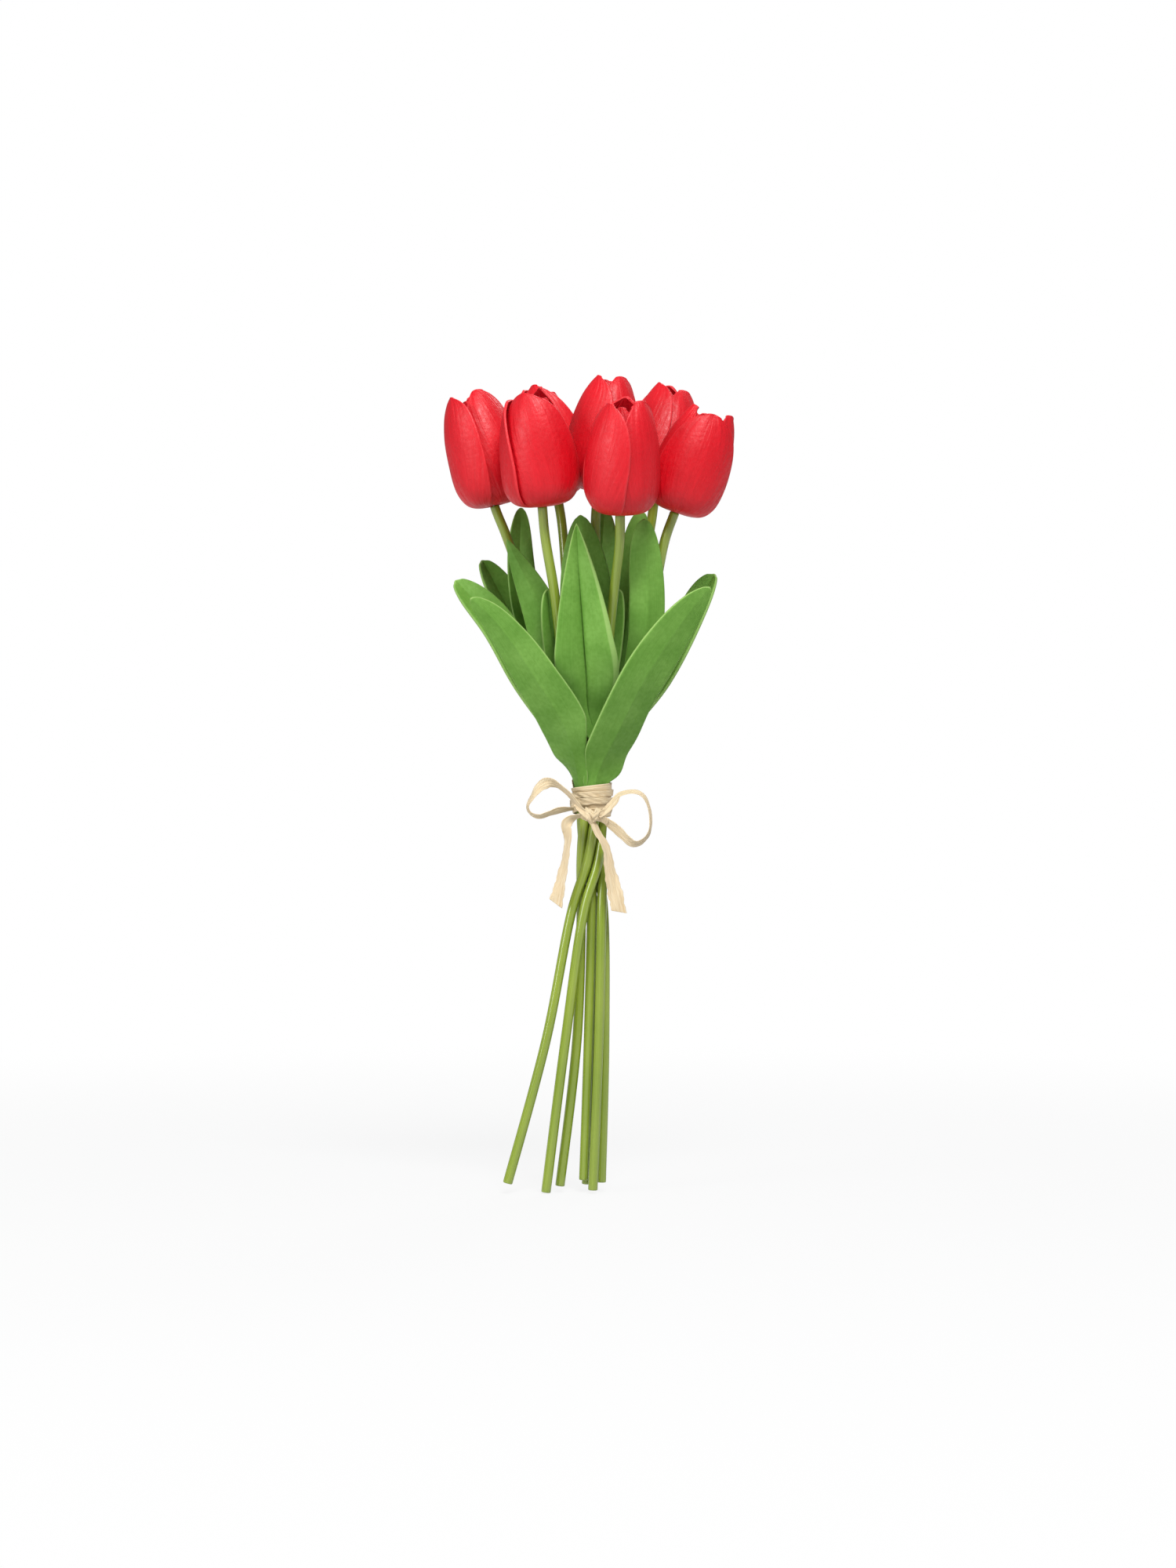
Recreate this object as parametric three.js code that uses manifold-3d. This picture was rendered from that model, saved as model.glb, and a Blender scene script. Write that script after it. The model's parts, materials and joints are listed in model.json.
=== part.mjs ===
// A bunch of seven artificial tulips tied with a raffia bow, in millimetres, +Z up along the stems.
// The origin is the centre of the raffia winding, where a hand or a vase neck holds the bunch.
// +X is to the right and -Y is the side with the bow.
import * as THREE from "three";
import { mergeVertices } from "three/addons/utils/BufferGeometryUtils.js";
import Module from "manifold-3d";

const wasm = await Module();
wasm.setup();

// Driving dimensions of the stems
const FIT_GAP = 0.3; // between pieces that touch on the real bunch
const STEM_DIAMETER = 4;
const STEM_BELOW = 160; // usual length of the stems below the middle of the tie
const STEM_CLOSE = 45; // the stems stay close together for this length below the middle of the tie
const STEM_PITCH_GAP = 0.5; // between neighbouring stems in the tie
const WIRE_DIAMETER = 1.5;
const WIRE_RECESS = 0.6; // the wire's cut end sits this far up the stem's foot
const WIRE_IN_HEAD = 15; // how far the wire reaches into the flower's core
const NECK_LENGTH = 12; // straight stretch of stem under the flower
const STEM_SIDES = 8;
const WIRE_SIDES = 5;

// Driving dimensions of the flowers
const HEAD_HEIGHT = 48.5;
const HEAD_DIAMETER = 32;
const PETAL_THICKNESS = 1.2;
const PETALS_PER_WHORL = 3;
const WHORL_FOOT_HEIGHT = 1.1; // the flat ring that joins the three petals of a whorl
const WHORL_FOOT_RADIUS = 6;
const OUTER_PETAL_HALF_ANGLE = 70;
const INNER_PETAL_HALF_ANGLE = 66;
const OUTER_SPIRAL = 1.1; // one edge of a petal lies this far out and the other this far in
const INNER_SPIRAL = 1;
const WHORL_GAP = 0.4; // between the outer petals and the inner ones
const CORE_GAP = 1.7; // between the inner petals and the foam core
const INNER_DROP = 6.5; // the inner petals end this far below the outer ones
const CORE_DROP = 13;

// Driving dimensions of the leaves
const LEAF_THICKNESS = 1.5;
const TONGUE_THICKNESS = 0.6; // the leaf's foot, where the raffia presses it on the stems
const TONGUE_HALF_WIDTH = 1.8;
const FRONT_TONGUE_HALF_WIDTH = 3.6; // of the two big front leaves
const FRONT_SEAM = 250; // the angle in the tie where the feet of those two leaves meet
const CLASP_HALF_WIDTH = 2.6; // of a leaf that holds its own stem
const TONGUE_DEPTH = 5; // how far the foot reaches down below the tie's middle
const LEAF_TIP_SHARE = 0.16; // half-width of the blunt tip as a share of the leaf's half-width

// Driving dimensions of the raffia
const BAND_WIDTH = 2.9;
const BAND_THICKNESS = 0.7;
const BAND_GAP = 0.5; // along the stems between one turn and the next
const BAND_TURNS = 3.75;
const KNOT_SIZE = [6.4, 4.2, 5]; // width, depth and height
const KNOT_RISE = 0.825; // the knot's middle above the winding's lower edge
const RIBBON_THICKNESS = 0.7;

// Worked out from the driving dimensions
const stemRadius = STEM_DIAMETER / 2;
const wireRadius = WIRE_DIAMETER / 2;
const slotRadius = STEM_DIAMETER + STEM_PITCH_GAP;
const bundleRadius = slotRadius + stemRadius;
const tongueRadius = bundleRadius + FIT_GAP + TONGUE_THICKNESS / 2;
const bandInnerRadius = tongueRadius + TONGUE_THICKNESS / 2 + FIT_GAP;
const bandOuterRadius = bandInnerRadius + BAND_THICKNESS;
const bandPitch = BAND_WIDTH + BAND_GAP;
const tieHalfHeight = (bandPitch * BAND_TURNS + BAND_WIDTH) / 2;
const footHoleRadius = stemRadius + 1.15 * FIT_GAP;
const whorlSpacing = OUTER_SPIRAL + INNER_SPIRAL + PETAL_THICKNESS + WHORL_GAP;
const coreSpacing = INNER_SPIRAL + PETAL_THICKNESS / 2 + CORE_GAP;
const frontFootTurn = THREE.MathUtils.radToDeg((FRONT_TONGUE_HALF_WIDTH + 1.4 * FIT_GAP) / tongueRadius);
const frontSeamX = tongueRadius * Math.cos(THREE.MathUtils.degToRad(FRONT_SEAM));
const sideFootTurn = THREE.MathUtils.radToDeg((TONGUE_HALF_WIDTH + 2.2 * FIT_GAP) / tongueRadius);

// The finishes
const finish = (color, roughness, metalness = 0) =>
  new THREE.MeshStandardMaterial({ color, roughness, metalness });
const stemPlastic = finish(0x8fa53c, 0.4);
const wireSteel = finish(0x8a8a86, 0.5, 1);
const petalRed = finish(0xd8202c, 0.55);
const innerPetalRed = finish(0xc81a26, 0.55);
const foamRed = finish(0xa82830, 0.95);
const leafGreen = finish(0x5f9a3e, 0.65);
const raffiaStraw = finish(0xf2dfb8, 0.85);

// Each tulip: the angle of its place in the tie; the foot of its stem, and how much further than usual
// it reaches; its stem's places below the tie, from the foot up, and its points above the tie; the foot
// of its flower, a point that the flower aims at, and the turn of its petals.
const TULIPS = [
  {
    slot: 150,
    foot: [3.9, -0.5, -0.4],
    below: [[5.4, 1.2], [4.8, 2.2]],
    above: [[-14.5, 2.5, 45], [-26.8, 2, 85]],
    head: [-40.6, 1, 122.6],
    aim: [-51, 0, 170],
    neck: [-36, 1.5, 110.8],
    spin: 205,
  },
  {
    slot: 210,
    foot: [-2.2, 3.6, 0.8],
    below: [[0.8, 4.5], [0.7, 4.8]],
    above: [[-10.8, -9.5, 45], [-15.4, -16, 85]],
    head: [-20.4, -22, 120.6],
    aim: [-24.6, -29, 166.6],
    spin: 278,
  },
  {
    slot: 90,
    foot: [0.4, -5.8, 2.3],
    below: [[2.9, -4.2], [4.1, -2.8]],
    above: [[-5.6, 9, 45], [-10, 14.5, 85]],
    head: [-14.6, 20, 128.4],
    aim: [-22.3, 26, 175],
    spin: 200,
  },
  {
    slot: null,
    foot: [-3.4, -1.5, -1.5],
    below: [[-1.4, -1], [0, -0.2]],
    above: [[1.5, -1.4, 45], [2.2, -2.6, 85]],
    head: [2.6, -4, 128.4],
    aim: [6.8, -5, 176],
    spin: 205,
  },
  {
    slot: 270,
    foot: [-13.3, -1.5, 1],
    below: [[-6.2, -0.5], [-4.4, 1.5]],
    above: [[5, -11.5, 45], [9, -21, 85]],
    head: [11.5, -33, 116.4],
    aim: [12.3, -42, 163],
    spin: 212,
  },
  {
    slot: 30,
    foot: [-19.1, -6, 3.2],
    below: [[-11, -5.5], [-3, -5.2]],
    above: [[11, 8.5, 45], [18.5, 14.3, 85]],
    head: [26.6, 20, 128.4],
    aim: [33, 27, 176],
    spin: 206,
  },
  {
    slot: 330,
    foot: [-35, -7, -0.7],
    below: [[-19, -6], [-8, -3.4]],
    above: [[15.5, -7, 45], [25.6, -11.5, 85]],
    head: [34.2, -16, 118.6],
    aim: [49.6, -20, 162],
    spin: 275,
  },
];

// Each leaf: its tulip, its points from above the tie to the tip, the way its back faces there,
// its half-width and the fold of its two wings. A leaf with an angle has its foot in the tie at
// that angle; a leaf with a height holds its own stem from there up, on the given side, and
// hollowOut turns its hollow side away from the stem. A slender one widens late, widest is where
// along it that is, and taper shapes its tip. The two front leaves meet at a seam on one side.
const LEAVES = [
  {
    name: "tulip1_front_leaf",
    tulip: 1,
    height: 24,
    side: [0.1, -1],
    points: [[-21.4, -5.6, 74], [-33.8, -6.4, 106.5]],
    back: [-0.2, -0.98],
    halfWidth: 7,
    slender: 1.5,
    widest: 0.48,
    taper: [1.6, 0.8],
    fold: 14,
  },
  {
    name: "tulip1_rear_leaf",
    tulip: 1,
    height: 22,
    side: [0.3, 0.95],
    points: [[-24, 10.4, 76], [-29.4, 13, 121]],
    back: [-0.1, 1],
    halfWidth: 6.6,
    fold: 18,
  },
  {
    name: "tulip2_outer_leaf",
    tulip: 2,
    angle: FRONT_SEAM - frontFootTurn,
    footHalfWidth: FRONT_TONGUE_HALF_WIDTH,
    points: [
      [-10.8, -16.4, 29], [-22.6, -25.2, 49], [-32, -28.5, 64], [-41, -30.5, 76], [-49, -31.5, 83],
    ],
    back: [-0.42, -0.9],
    halfWidth: 10.5,
    slender: 0.6,
    widest: 0.36,
    taper: [2, 0.6],
    seam: 1,
    fold: 13,
  },
  {
    name: "tulip2_inner_leaf",
    tulip: 2,
    height: 26,
    side: [-0.6, 0.8],
    points: [[-15.8, -8.6, 62], [-18.6, -12, 87]],
    back: [-0.3, 0.95],
    halfWidth: 5.5,
    fold: 25,
  },
  {
    name: "tulip3_outer_leaf",
    tulip: 3,
    angle: FRONT_SEAM - 2 * frontFootTurn - sideFootTurn,
    points: [[-16.2, -1.4, 28], [-31, -2.6, 52], [-44, -3, 73], [-57, -3, 91]],
    back: [-0.8, 0.6],
    halfWidth: 9.5,
    fold: 16,
  },
  {
    name: "tulip3_rear_leaf",
    tulip: 3,
    angle: 131,
    points: [[-11.4, 14.5, 30], [-22, 21, 54], [-46, 25, 99]],
    back: [-0.62, 0.78],
    halfWidth: 10,
    fold: 22,
  },
  {
    name: "tulip4_front_leaf",
    tulip: 4,
    height: 34,
    side: [-0.1, -1],
    points: [[-0.6, -8.4, 70], [-4.8, -10.4, 117]],
    back: [-0.05, -1],
    halfWidth: 11.5,
    slender: 1.2,
    widest: 0.4,
    taper: [2, 0.75],
    fold: 22,
  },
  {
    name: "tulip4_rear_leaf",
    tulip: 4,
    angle: 82,
    points: [[2, 14, 34], [2, 18, 60], [5.5, 22, 123]],
    back: [0.1, 1],
    halfWidth: 9,
    fold: 24,
  },
  {
    name: "tulip5_outer_leaf",
    tulip: 5,
    height: 24,
    side: [0.15, -1],
    hollowOut: true,
    points: [[-1.8, -16.8, 52], [-6.4, -25.8, 107.5]],
    back: [0.05, 1],
    halfWidth: 14.5,
    slender: 1.2,
    widest: 0.42,
    taper: [1.3, 0.85],
    fold: 32,
  },
  {
    name: "tulip5_inner_leaf",
    tulip: 5,
    height: 32,
    side: [0.45, 0.9],
    points: [[8.8, -9, 62], [11.4, -12.8, 87]],
    back: [0.3, 0.95],
    halfWidth: 4.4,
    fold: 20,
  },
  {
    name: "tulip6_outer_leaf",
    tulip: 6,
    angle: FRONT_SEAM + 2 * frontFootTurn + sideFootTurn + 21.5,
    points: [[16.4, 2, 28], [31, 4, 51], [51.6, 6, 94.5]],
    back: [0.7, 0.72],
    halfWidth: 9.5,
    slender: 1.5,
    widest: 0.7,
    fold: 26,
  },
  {
    name: "tulip6_inner_leaf",
    tulip: 6,
    height: 26,
    side: [-0.1, -1],
    points: [[15, 7.6, 75], [22.5, 11, 122]],
    back: [0.1, -1],
    halfWidth: 9.5,
    fold: 22,
  },
  {
    name: "tulip7_outer_leaf",
    tulip: 7,
    angle: FRONT_SEAM + frontFootTurn,
    footHalfWidth: FRONT_TONGUE_HALF_WIDTH,
    points: [
      [10, -17, 29], [21.6, -24.6, 49], [31, -27, 65], [40.4, -28, 78], [48.4, -28.5, 87],
    ],
    back: [0.55, -0.84],
    halfWidth: 10.8,
    slender: 0.55,
    widest: 0.42,
    taper: [2.3, 0.8],
    seam: -1,
    fold: 17,
  },
  {
    name: "tulip7_inner_leaf",
    tulip: 7,
    height: 31,
    side: [0.1, -1],
    points: [[21.2, -16.6, 70], [20, -21, 114]],
    back: [0.1, -1],
    halfWidth: 9.2,
    slender: 1.25,
    fold: 16,
  },
];

// The raffia bow's routes, from the knot outwards.
const knotDepth = bandOuterRadius + FIT_GAP + KNOT_SIZE[1] / 2;
const knotCentre = new THREE.Vector3(0.6, -knotDepth, KNOT_RISE - tieHalfHeight);
const BOW = [
  {
    name: "bow_loop_left",
    points: [
      [-2.7, -10.9, -5.7], [-8.2, -11.4, 1.4], [-14.7, -11.6, 6.6], [-20.6, -11.2, 6.9],
      [-25.2, -10.8, 1], [-27, -10.4, -4.4], [-22.5, -9.6, -7.3], [-13.7, -9, -4.6],
      [-7.4, -6.3, -3.7],
    ],
    widths: [2.6, 3, 3.6, 4, 3, 2.4, 2.8, 3.2, 2.6],
    tilt: 48,
  },
  {
    name: "bow_loop_right",
    points: [
      [3.9, -10.9, -5.7], [8.3, -11.6, -1.4], [11.5, -12, 2.3], [17, -12, 2.9], [22, -11.6, 0.5],
      [24.4, -11.2, -5.5], [24.4, -10.8, -11.9], [21, -10.4, -17], [16.4, -10.2, -18.2],
      [10.9, -10.2, -13.7], [4, -10.6, -8.8],
    ],
    widths: [2.6, 3, 3, 3.2, 2.8, 2.4, 2.4, 2.8, 3.6, 3.2, 2.6],
    tilt: 42,
  },
  {
    name: "bow_tail_left",
    points: [
      [-2.6, -10.9, -8.8], [-7.2, -11, -9.6], [-10.4, -10.9, -11.6], [-10.2, -10.6, -16.4],
      [-10.6, -10.4, -22.5], [-12.2, -10.2, -31], [-14, -10, -38], [-15.6, -9.8, -44],
    ],
    widths: [3, 3.6, 4.2, 3.6, 3.8, 4.4, 5.4, 6.6],
    tilt: 78,
  },
  {
    name: "bow_tail_right",
    points: [
      [0.8, -11.2, -10.4], [2.4, -11.2, -13], [4.6, -11, -17.5], [6.4, -10.8, -23], [7.6, -10.6, -30],
      [9.2, -10.4, -38], [11.7, -10.2, -48],
    ],
    widths: [3, 3.4, 3.8, 4.2, 5, 5.6, 5.4],
    tilt: 80,
  },
];

const END_CROWDING = 0.5;
const degrees = THREE.MathUtils.degToRad;
const lerp = THREE.MathUtils.lerp;
const smooth = (t) => THREE.MathUtils.smoothstep(t, 0, 1);
const vector = ([x, y, z]) => new THREE.Vector3(x, y, z);

// A manifold solid from a closed geometry, and a geometry from a manifold solid
function solid(geometry) {
  const bare = new THREE.BufferGeometry().setAttribute("position", geometry.getAttribute("position"));
  bare.setIndex(geometry.index);
  const merged = mergeVertices(bare, 1e-4);
  const vertProperties = new Float32Array(merged.attributes.position.array);
  const triVerts = new Uint32Array(merged.index.array);
  return new wasm.Manifold(new wasm.Mesh({ numProp: 3, vertProperties, triVerts }));
}

function geometryOf(made) {
  const mesh = made.getMesh();
  return new THREE.BufferGeometry()
    .setAttribute("position", new THREE.BufferAttribute(mesh.vertProperties, 3))
    .setIndex(new THREE.BufferAttribute(mesh.triVerts, 1));
}

// A closed shell of a given thickness about a surface(u, v), with u from -1 to 1 and v from 0 to 1.
// The surface's side where u cross v points is the outside. Crowding brings its rows closer at both ends.
function shell(surface, across, along, thickness, crowding = 0) {
  const step = 1e-3;
  const at = (u, v) => surface(THREE.MathUtils.clamp(u, -1, 1), THREE.MathUtils.clamp(v, 0, 1));
  const outside = [];
  const inside = [];
  for (let j = 0; j <= along; j++) {
    for (let i = 0; i <= across; i++) {
      const u = lerp(-1, 1, i / across);
      const v = j / along - (crowding * Math.sin((2 * Math.PI * j) / along)) / (2 * Math.PI);
      const alongU = at(u + step, v).sub(at(u - step, v));
      const alongV = at(u, v + step).sub(at(u, v - step));
      const half = alongU.cross(alongV).setLength(thickness(v) / 2);
      outside.push(at(u, v).add(half));
      inside.push(at(u, v).sub(half));
    }
  }
  const points = [...outside, ...inside].flatMap((p) => p.toArray());
  const row = across + 1;
  const layer = outside.length;
  const faces = [];
  const quad = (a, b, c, d) => faces.push(a, b, c, a, c, d);
  for (let j = 0; j < along; j++) {
    for (let i = 0; i < across; i++) {
      const a = j * row + i;
      quad(a, a + 1, a + 1 + row, a + row);
      quad(layer + a, layer + a + row, layer + a + 1 + row, layer + a + 1);
    }
    const left = j * row;
    const right = left + across;
    quad(left, left + row, layer + left + row, layer + left);
    quad(right, layer + right, layer + right + row, right + row);
  }
  const top = along * row;
  for (let i = 0; i < across; i++) {
    quad(i, layer + i, layer + i + 1, i + 1);
    quad(top + i, top + i + 1, layer + top + i + 1, layer + top + i);
  }
  return new THREE.BufferGeometry()
    .setAttribute("position", new THREE.Float32BufferAttribute(points, 3))
    .setIndex(faces);
}

// A solid of revolution about +Z from a profile of [radius, height] points
function turned(profile, segments) {
  const outline = profile.map(([r, z]) => new THREE.Vector2(r, z));
  return new THREE.LatheGeometry(outline, segments).rotateX(Math.PI / 2);
}

// A curve that is stepped at chosen places, so a stem, its bore and its wire share their steps
class Stepped extends THREE.Curve {
  constructor(whole, places) {
    super();
    Object.assign(this, { whole, places });
  }

  placeAt(u) {
    const step = u * (this.places.length - 1);
    const k = Math.min(Math.floor(step), this.places.length - 2);
    return lerp(this.places[k], this.places[k + 1], step - k);
  }

  getPointAt(u, target = new THREE.Vector3()) {
    return this.whole.getPoint(this.placeAt(u), target);
  }

  getTangentAt(u, target = new THREE.Vector3()) {
    return this.whole.getTangent(this.placeAt(u), target);
  }
}

// A round rod along a curve
function rod(curve, radius, sides) {
  const corners = [...Array(sides).keys()].map((k) => (k / sides) * 2 * Math.PI);
  const corner = (a) => new THREE.Vector2(radius * Math.cos(a), radius * Math.sin(a));
  const section = new THREE.Shape(corners.map(corner));
  const steps = curve.places.length - 1;
  return new THREE.ExtrudeGeometry(section, { steps, extrudePath: curve, bevelEnabled: false });
}

// The line of a stem: from its foot through its place in the tie to the flower and on into its core.
// The stems turn about each other in the tie, as in a hand-tied bunch.
const TIE_TURNS = [[-26, -85], [-9, -45], [9, 0]]; // height and turn
const STEM_STEPS = [1, 2, 1, 2, 2, 1, 1, 2, 1, 1]; // between the points of a stem's line
function stemLine(tulip) {
  const inTie = ([height, turn]) => {
    const angle = degrees((tulip.slot ?? 0) + turn);
    const radius = tulip.slot === null ? 0 : slotRadius;
    return new THREE.Vector3(radius * Math.cos(angle), radius * Math.sin(angle), height);
  };
  const head = vector(tulip.head);
  const axis = vector(tulip.aim).sub(head).normalize();
  const tie = TIE_TURNS.map(inTie);
  const above = tulip.above.map(vector);
  const [footX, footY, further] = tulip.foot;
  const depths = [STEM_BELOW / 1.6, STEM_CLOSE];
  const below = [
    new THREE.Vector3(footX, footY, -(STEM_BELOW + further)),
    ...tulip.below.map(([x, y], k) => new THREE.Vector3(x, y, -depths[k])),
  ];
  const points = [
    below[0].clone().lerp(below[1], -0.05),
    ...below,
    ...tie,
    tie.at(-1).clone().lerp(above[0], 0.36),
    ...above,
    tulip.neck ? vector(tulip.neck) : head.clone().addScaledVector(axis, -NECK_LENGTH),
    head,
    head.clone().addScaledVector(axis, WIRE_IN_HEAD),
  ];
  const whole = new THREE.CatmullRomCurve3(points, false, "centripetal");
  const share = (k) => k / (points.length - 1);
  const places = [share(1)];
  STEM_STEPS.forEach((steps, k) => {
    for (let step = 1; step <= steps; step++) places.push(share(k + 1 + step / steps));
  });
  return { whole, places, underFoot: share(0.5), intoHead: [share(points.length - 1.5), 1], head, axis };
}

// The point of a stem's line at a height
function stemAt(whole, height) {
  let low = 0;
  let high = 1;
  for (let k = 0; k < 40; k++) {
    const middle = (low + high) / 2;
    if (whole.getPoint(middle).z < height) low = middle;
    else high = middle;
  }
  return whole.getPoint(low);
}

// The stem: a plastic tube, round-ended where the flower sits, with a bore for the wire
function stemSolid({ whole, places, underFoot, intoHead, head }) {
  const outside = solid(rod(new Stepped(whole, places), stemRadius, STEM_SIDES));
  const ball = new THREE.SphereGeometry(stemRadius, STEM_SIDES, 5);
  const roundEnd = solid(ball.translate(head.x, head.y, head.z));
  const boreRadius = wireRadius + FIT_GAP;
  const boreLine = new Stepped(whole, [underFoot, ...places, intoHead[0]]);
  const bore = solid(rod(boreLine, boreRadius, WIRE_SIDES));
  return geometryOf(outside.add(roundEnd).subtract(bore));
}

// The wire that the stem keeps its bend by
function wireSolid({ whole, places, intoHead }) {
  const firstStep = whole.getPoint(places[0]).distanceTo(whole.getPoint(places[1]));
  const start = lerp(places[0], places[1], WIRE_RECESS / firstStep);
  return rod(new Stepped(whole, [start, ...places.slice(1), ...intoHead]), wireRadius, WIRE_SIDES);
}

// The side view of the cup that the middle of the outer petals follows, as [radius, height],
// and the same cup for the inner petals and the foam core
const CUP_FORM = [
  [0.21, 0.011], [0.5, 0.02], [0.76, 0.058], [0.94, 0.15], [1, 0.28], [0.985, 0.43], [0.9, 0.61],
  [0.72, 0.79], [0.51, 0.92], [0.34, 1],
];
function cup(inset, lift, height) {
  const reach = HEAD_DIAMETER / 2 - PETAL_THICKNESS / 2 - OUTER_SPIRAL * 0.5;
  const shrink = (reach - inset) / reach;
  return new THREE.SplineCurve(
    CUP_FORM.map(([r, h]) => new THREE.Vector2(r * reach * shrink, lift + h * (height - lift))),
  );
}

// How wide a petal is at a share of its length
function petalWidth(v) {
  const widest = 0.5;
  const footShare = 0.55;
  const tipShare = 0.24;
  if (v < widest) return lerp(footShare, 1, Math.sin((v / widest) * (Math.PI / 2)));
  const s = (v - widest) / (1 - widest);
  return Math.max(tipShare, (1 - s ** 3) ** 0.5);
}

// A whorl: three petals that overlap each other round the cup, joined by a flat ring at their foot
function whorl({ form, lift, halfAngle, spiral, across, along, sides }) {
  const foot = turned(
    [
      [footHoleRadius, lift],
      [WHORL_FOOT_RADIUS, lift],
      [WHORL_FOOT_RADIUS, lift + WHORL_FOOT_HEIGHT],
      [footHoleRadius, lift + WHORL_FOOT_HEIGHT],
      [footHoleRadius, lift],
    ],
    sides,
  );
  let made = solid(foot);
  const thickness = (v) => lerp(0.6 * WHORL_FOOT_HEIGHT, PETAL_THICKNESS, smooth(v * 5));
  for (let k = 0; k < PETALS_PER_WHORL; k++) {
    const middle = (k / PETALS_PER_WHORL) * 2 * Math.PI;
    const surface = (u, v) => {
      const { x: radius, y: height } = form.getPoint(v);
      const angle = middle + u * degrees(halfAngle) * petalWidth(v);
      const rise = smooth(v * 4.5);
      const out = Math.max(radius + u * spiral * rise, footHoleRadius + PETAL_THICKNESS / 2);
      return new THREE.Vector3(out * Math.cos(angle), out * Math.sin(angle), height);
    };
    made = made.add(solid(shell(surface, across, along, thickness, END_CROWDING)));
  }
  return geometryOf(made);
}

const innerLift = WHORL_FOOT_HEIGHT + 1.5 * FIT_GAP;
const coreLift = innerLift + WHORL_FOOT_HEIGHT + 2.5 * FIT_GAP;
const outerForm = cup(0, 0, HEAD_HEIGHT);
const innerForm = cup(whorlSpacing, innerLift, HEAD_HEIGHT - INNER_DROP);

const outerPetals = () =>
  whorl({
    form: outerForm,
    lift: 0,
    halfAngle: OUTER_PETAL_HALF_ANGLE,
    spiral: OUTER_SPIRAL,
    across: 6,
    along: 6,
    sides: 9,
  });
const innerPetals = () =>
  whorl({
    form: innerForm,
    lift: innerLift,
    halfAngle: INNER_PETAL_HALF_ANGLE,
    spiral: INNER_SPIRAL,
    across: 4,
    along: 5,
    sides: 9,
  });

// The foam core, with the wire's blind hole up its axis
function foamCore() {
  const form = cup(whorlSpacing + coreSpacing, coreLift, HEAD_HEIGHT - CORE_DROP);
  const holeRadius = wireRadius + FIT_GAP;
  const holeTop = WIRE_IN_HEAD + FIT_GAP;
  const skin = form.getPoints(6).slice(1).map(({ x, y }) => [x, y]);
  return turned(
    [
      [0, holeTop],
      [holeRadius, holeTop],
      [holeRadius, coreLift],
      [skin[0][0], coreLift],
      ...skin,
      [0, HEAD_HEIGHT - CORE_DROP + 1],
    ],
    8,
  );
}

// How wide a leaf is at a share of its length above the tie
function leafHalfWidth(v, foot, { halfWidth, slender = 1, widest = 0.58, taper = [2.5, 0.62] }) {
  if (v < widest) return lerp(foot, halfWidth, Math.sin((v / widest) * (Math.PI / 2)) ** slender);
  const s = (v - widest) / (1 - widest);
  return halfWidth * Math.max(LEAF_TIP_SHARE, (1 - s ** taper[0]) ** taper[1]);
}

// A leaf: a long soft blade folded along its middle, hollow side towards its stem
function leafSolid(leaf, stems) {
  const fold = degrees(leaf.fold);
  const points = leaf.points.map(vector);
  let footBack;
  if (leaf.angle !== undefined) {
    const angle = degrees(leaf.angle);
    footBack = new THREE.Vector3(Math.cos(angle), Math.sin(angle), 0);
    const foot = footBack.clone().multiplyScalar(tongueRadius);
    points.unshift(foot.clone().setZ(-TONGUE_DEPTH), foot.clone().setZ(tieHalfHeight + FIT_GAP));
  } else {
    const { whole } = stems[leaf.tulip - 1];
    footBack = new THREE.Vector3(...leaf.side, 0).normalize();
    const clear = (stemRadius + FIT_GAP + LEAF_THICKNESS / 2) / Math.cos(fold);
    for (const rise of [12, 0])
      points.unshift(stemAt(whole, leaf.height + rise).addScaledVector(footBack, clear));
    if (leaf.hollowOut) footBack.negate();
  }
  const spine = new THREE.CatmullRomCurve3(points, false, "centripetal");
  const tipBack = new THREE.Vector3(...leaf.back, 0).normalize();
  const hasTongue = leaf.angle !== undefined;
  const tongueShare = hasTongue ? points[0].distanceTo(points[1]) / spine.getLength() : 0;
  const footHalfWidth = leaf.footHalfWidth ?? (hasTongue ? TONGUE_HALF_WIDTH : CLASP_HALF_WIDTH);
  const hug = (1 - Math.cos(footHalfWidth / tongueRadius)) * tongueRadius;
  const tongueFold = Math.asin(hug / footHalfWidth);
  const grown = (v) => Math.max(0, (v - tongueShare) / (1 - tongueShare));
  const surface = (u, v) => {
    const rise = grown(v);
    const way = spine.getTangentAt(v);
    const back = footBack.clone().lerp(tipBack, smooth(rise * 2));
    back.addScaledVector(way, -back.dot(way)).normalize();
    const across = way.clone().cross(back);
    const bend = lerp(hasTongue ? tongueFold : leaf.hollowOut ? 0 : fold, fold, smooth(rise * 2));
    const middle = spine.getPointAt(v);
    let halfWidth = leafHalfWidth(rise, footHalfWidth, leaf);
    const towardsSeam = -across.x * Math.sign(u) * Math.cos(bend) * (leaf.seam ?? 0);
    if (rise > 0 && towardsSeam > 0) {
      const room = (frontSeamX - middle.x) * leaf.seam - LEAF_THICKNESS / 2 - FIT_GAP;
      halfWidth = Math.min(halfWidth, Math.max(room / towardsSeam, TONGUE_HALF_WIDTH));
    }
    const wing = Math.abs(u) ** (leaf.crease ?? 1.15);
    return middle
      .addScaledVector(across, -u * halfWidth * Math.cos(bend))
      .addScaledVector(back, -wing * halfWidth * Math.sin(bend));
  };
  const footThickness = hasTongue ? TONGUE_THICKNESS : LEAF_THICKNESS;
  const thickness = (v) => lerp(footThickness, LEAF_THICKNESS, smooth(grown(v) * 5));
  return shell(surface, 4, hasTongue ? 10 : 8, thickness, END_CROWDING);
}

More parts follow.
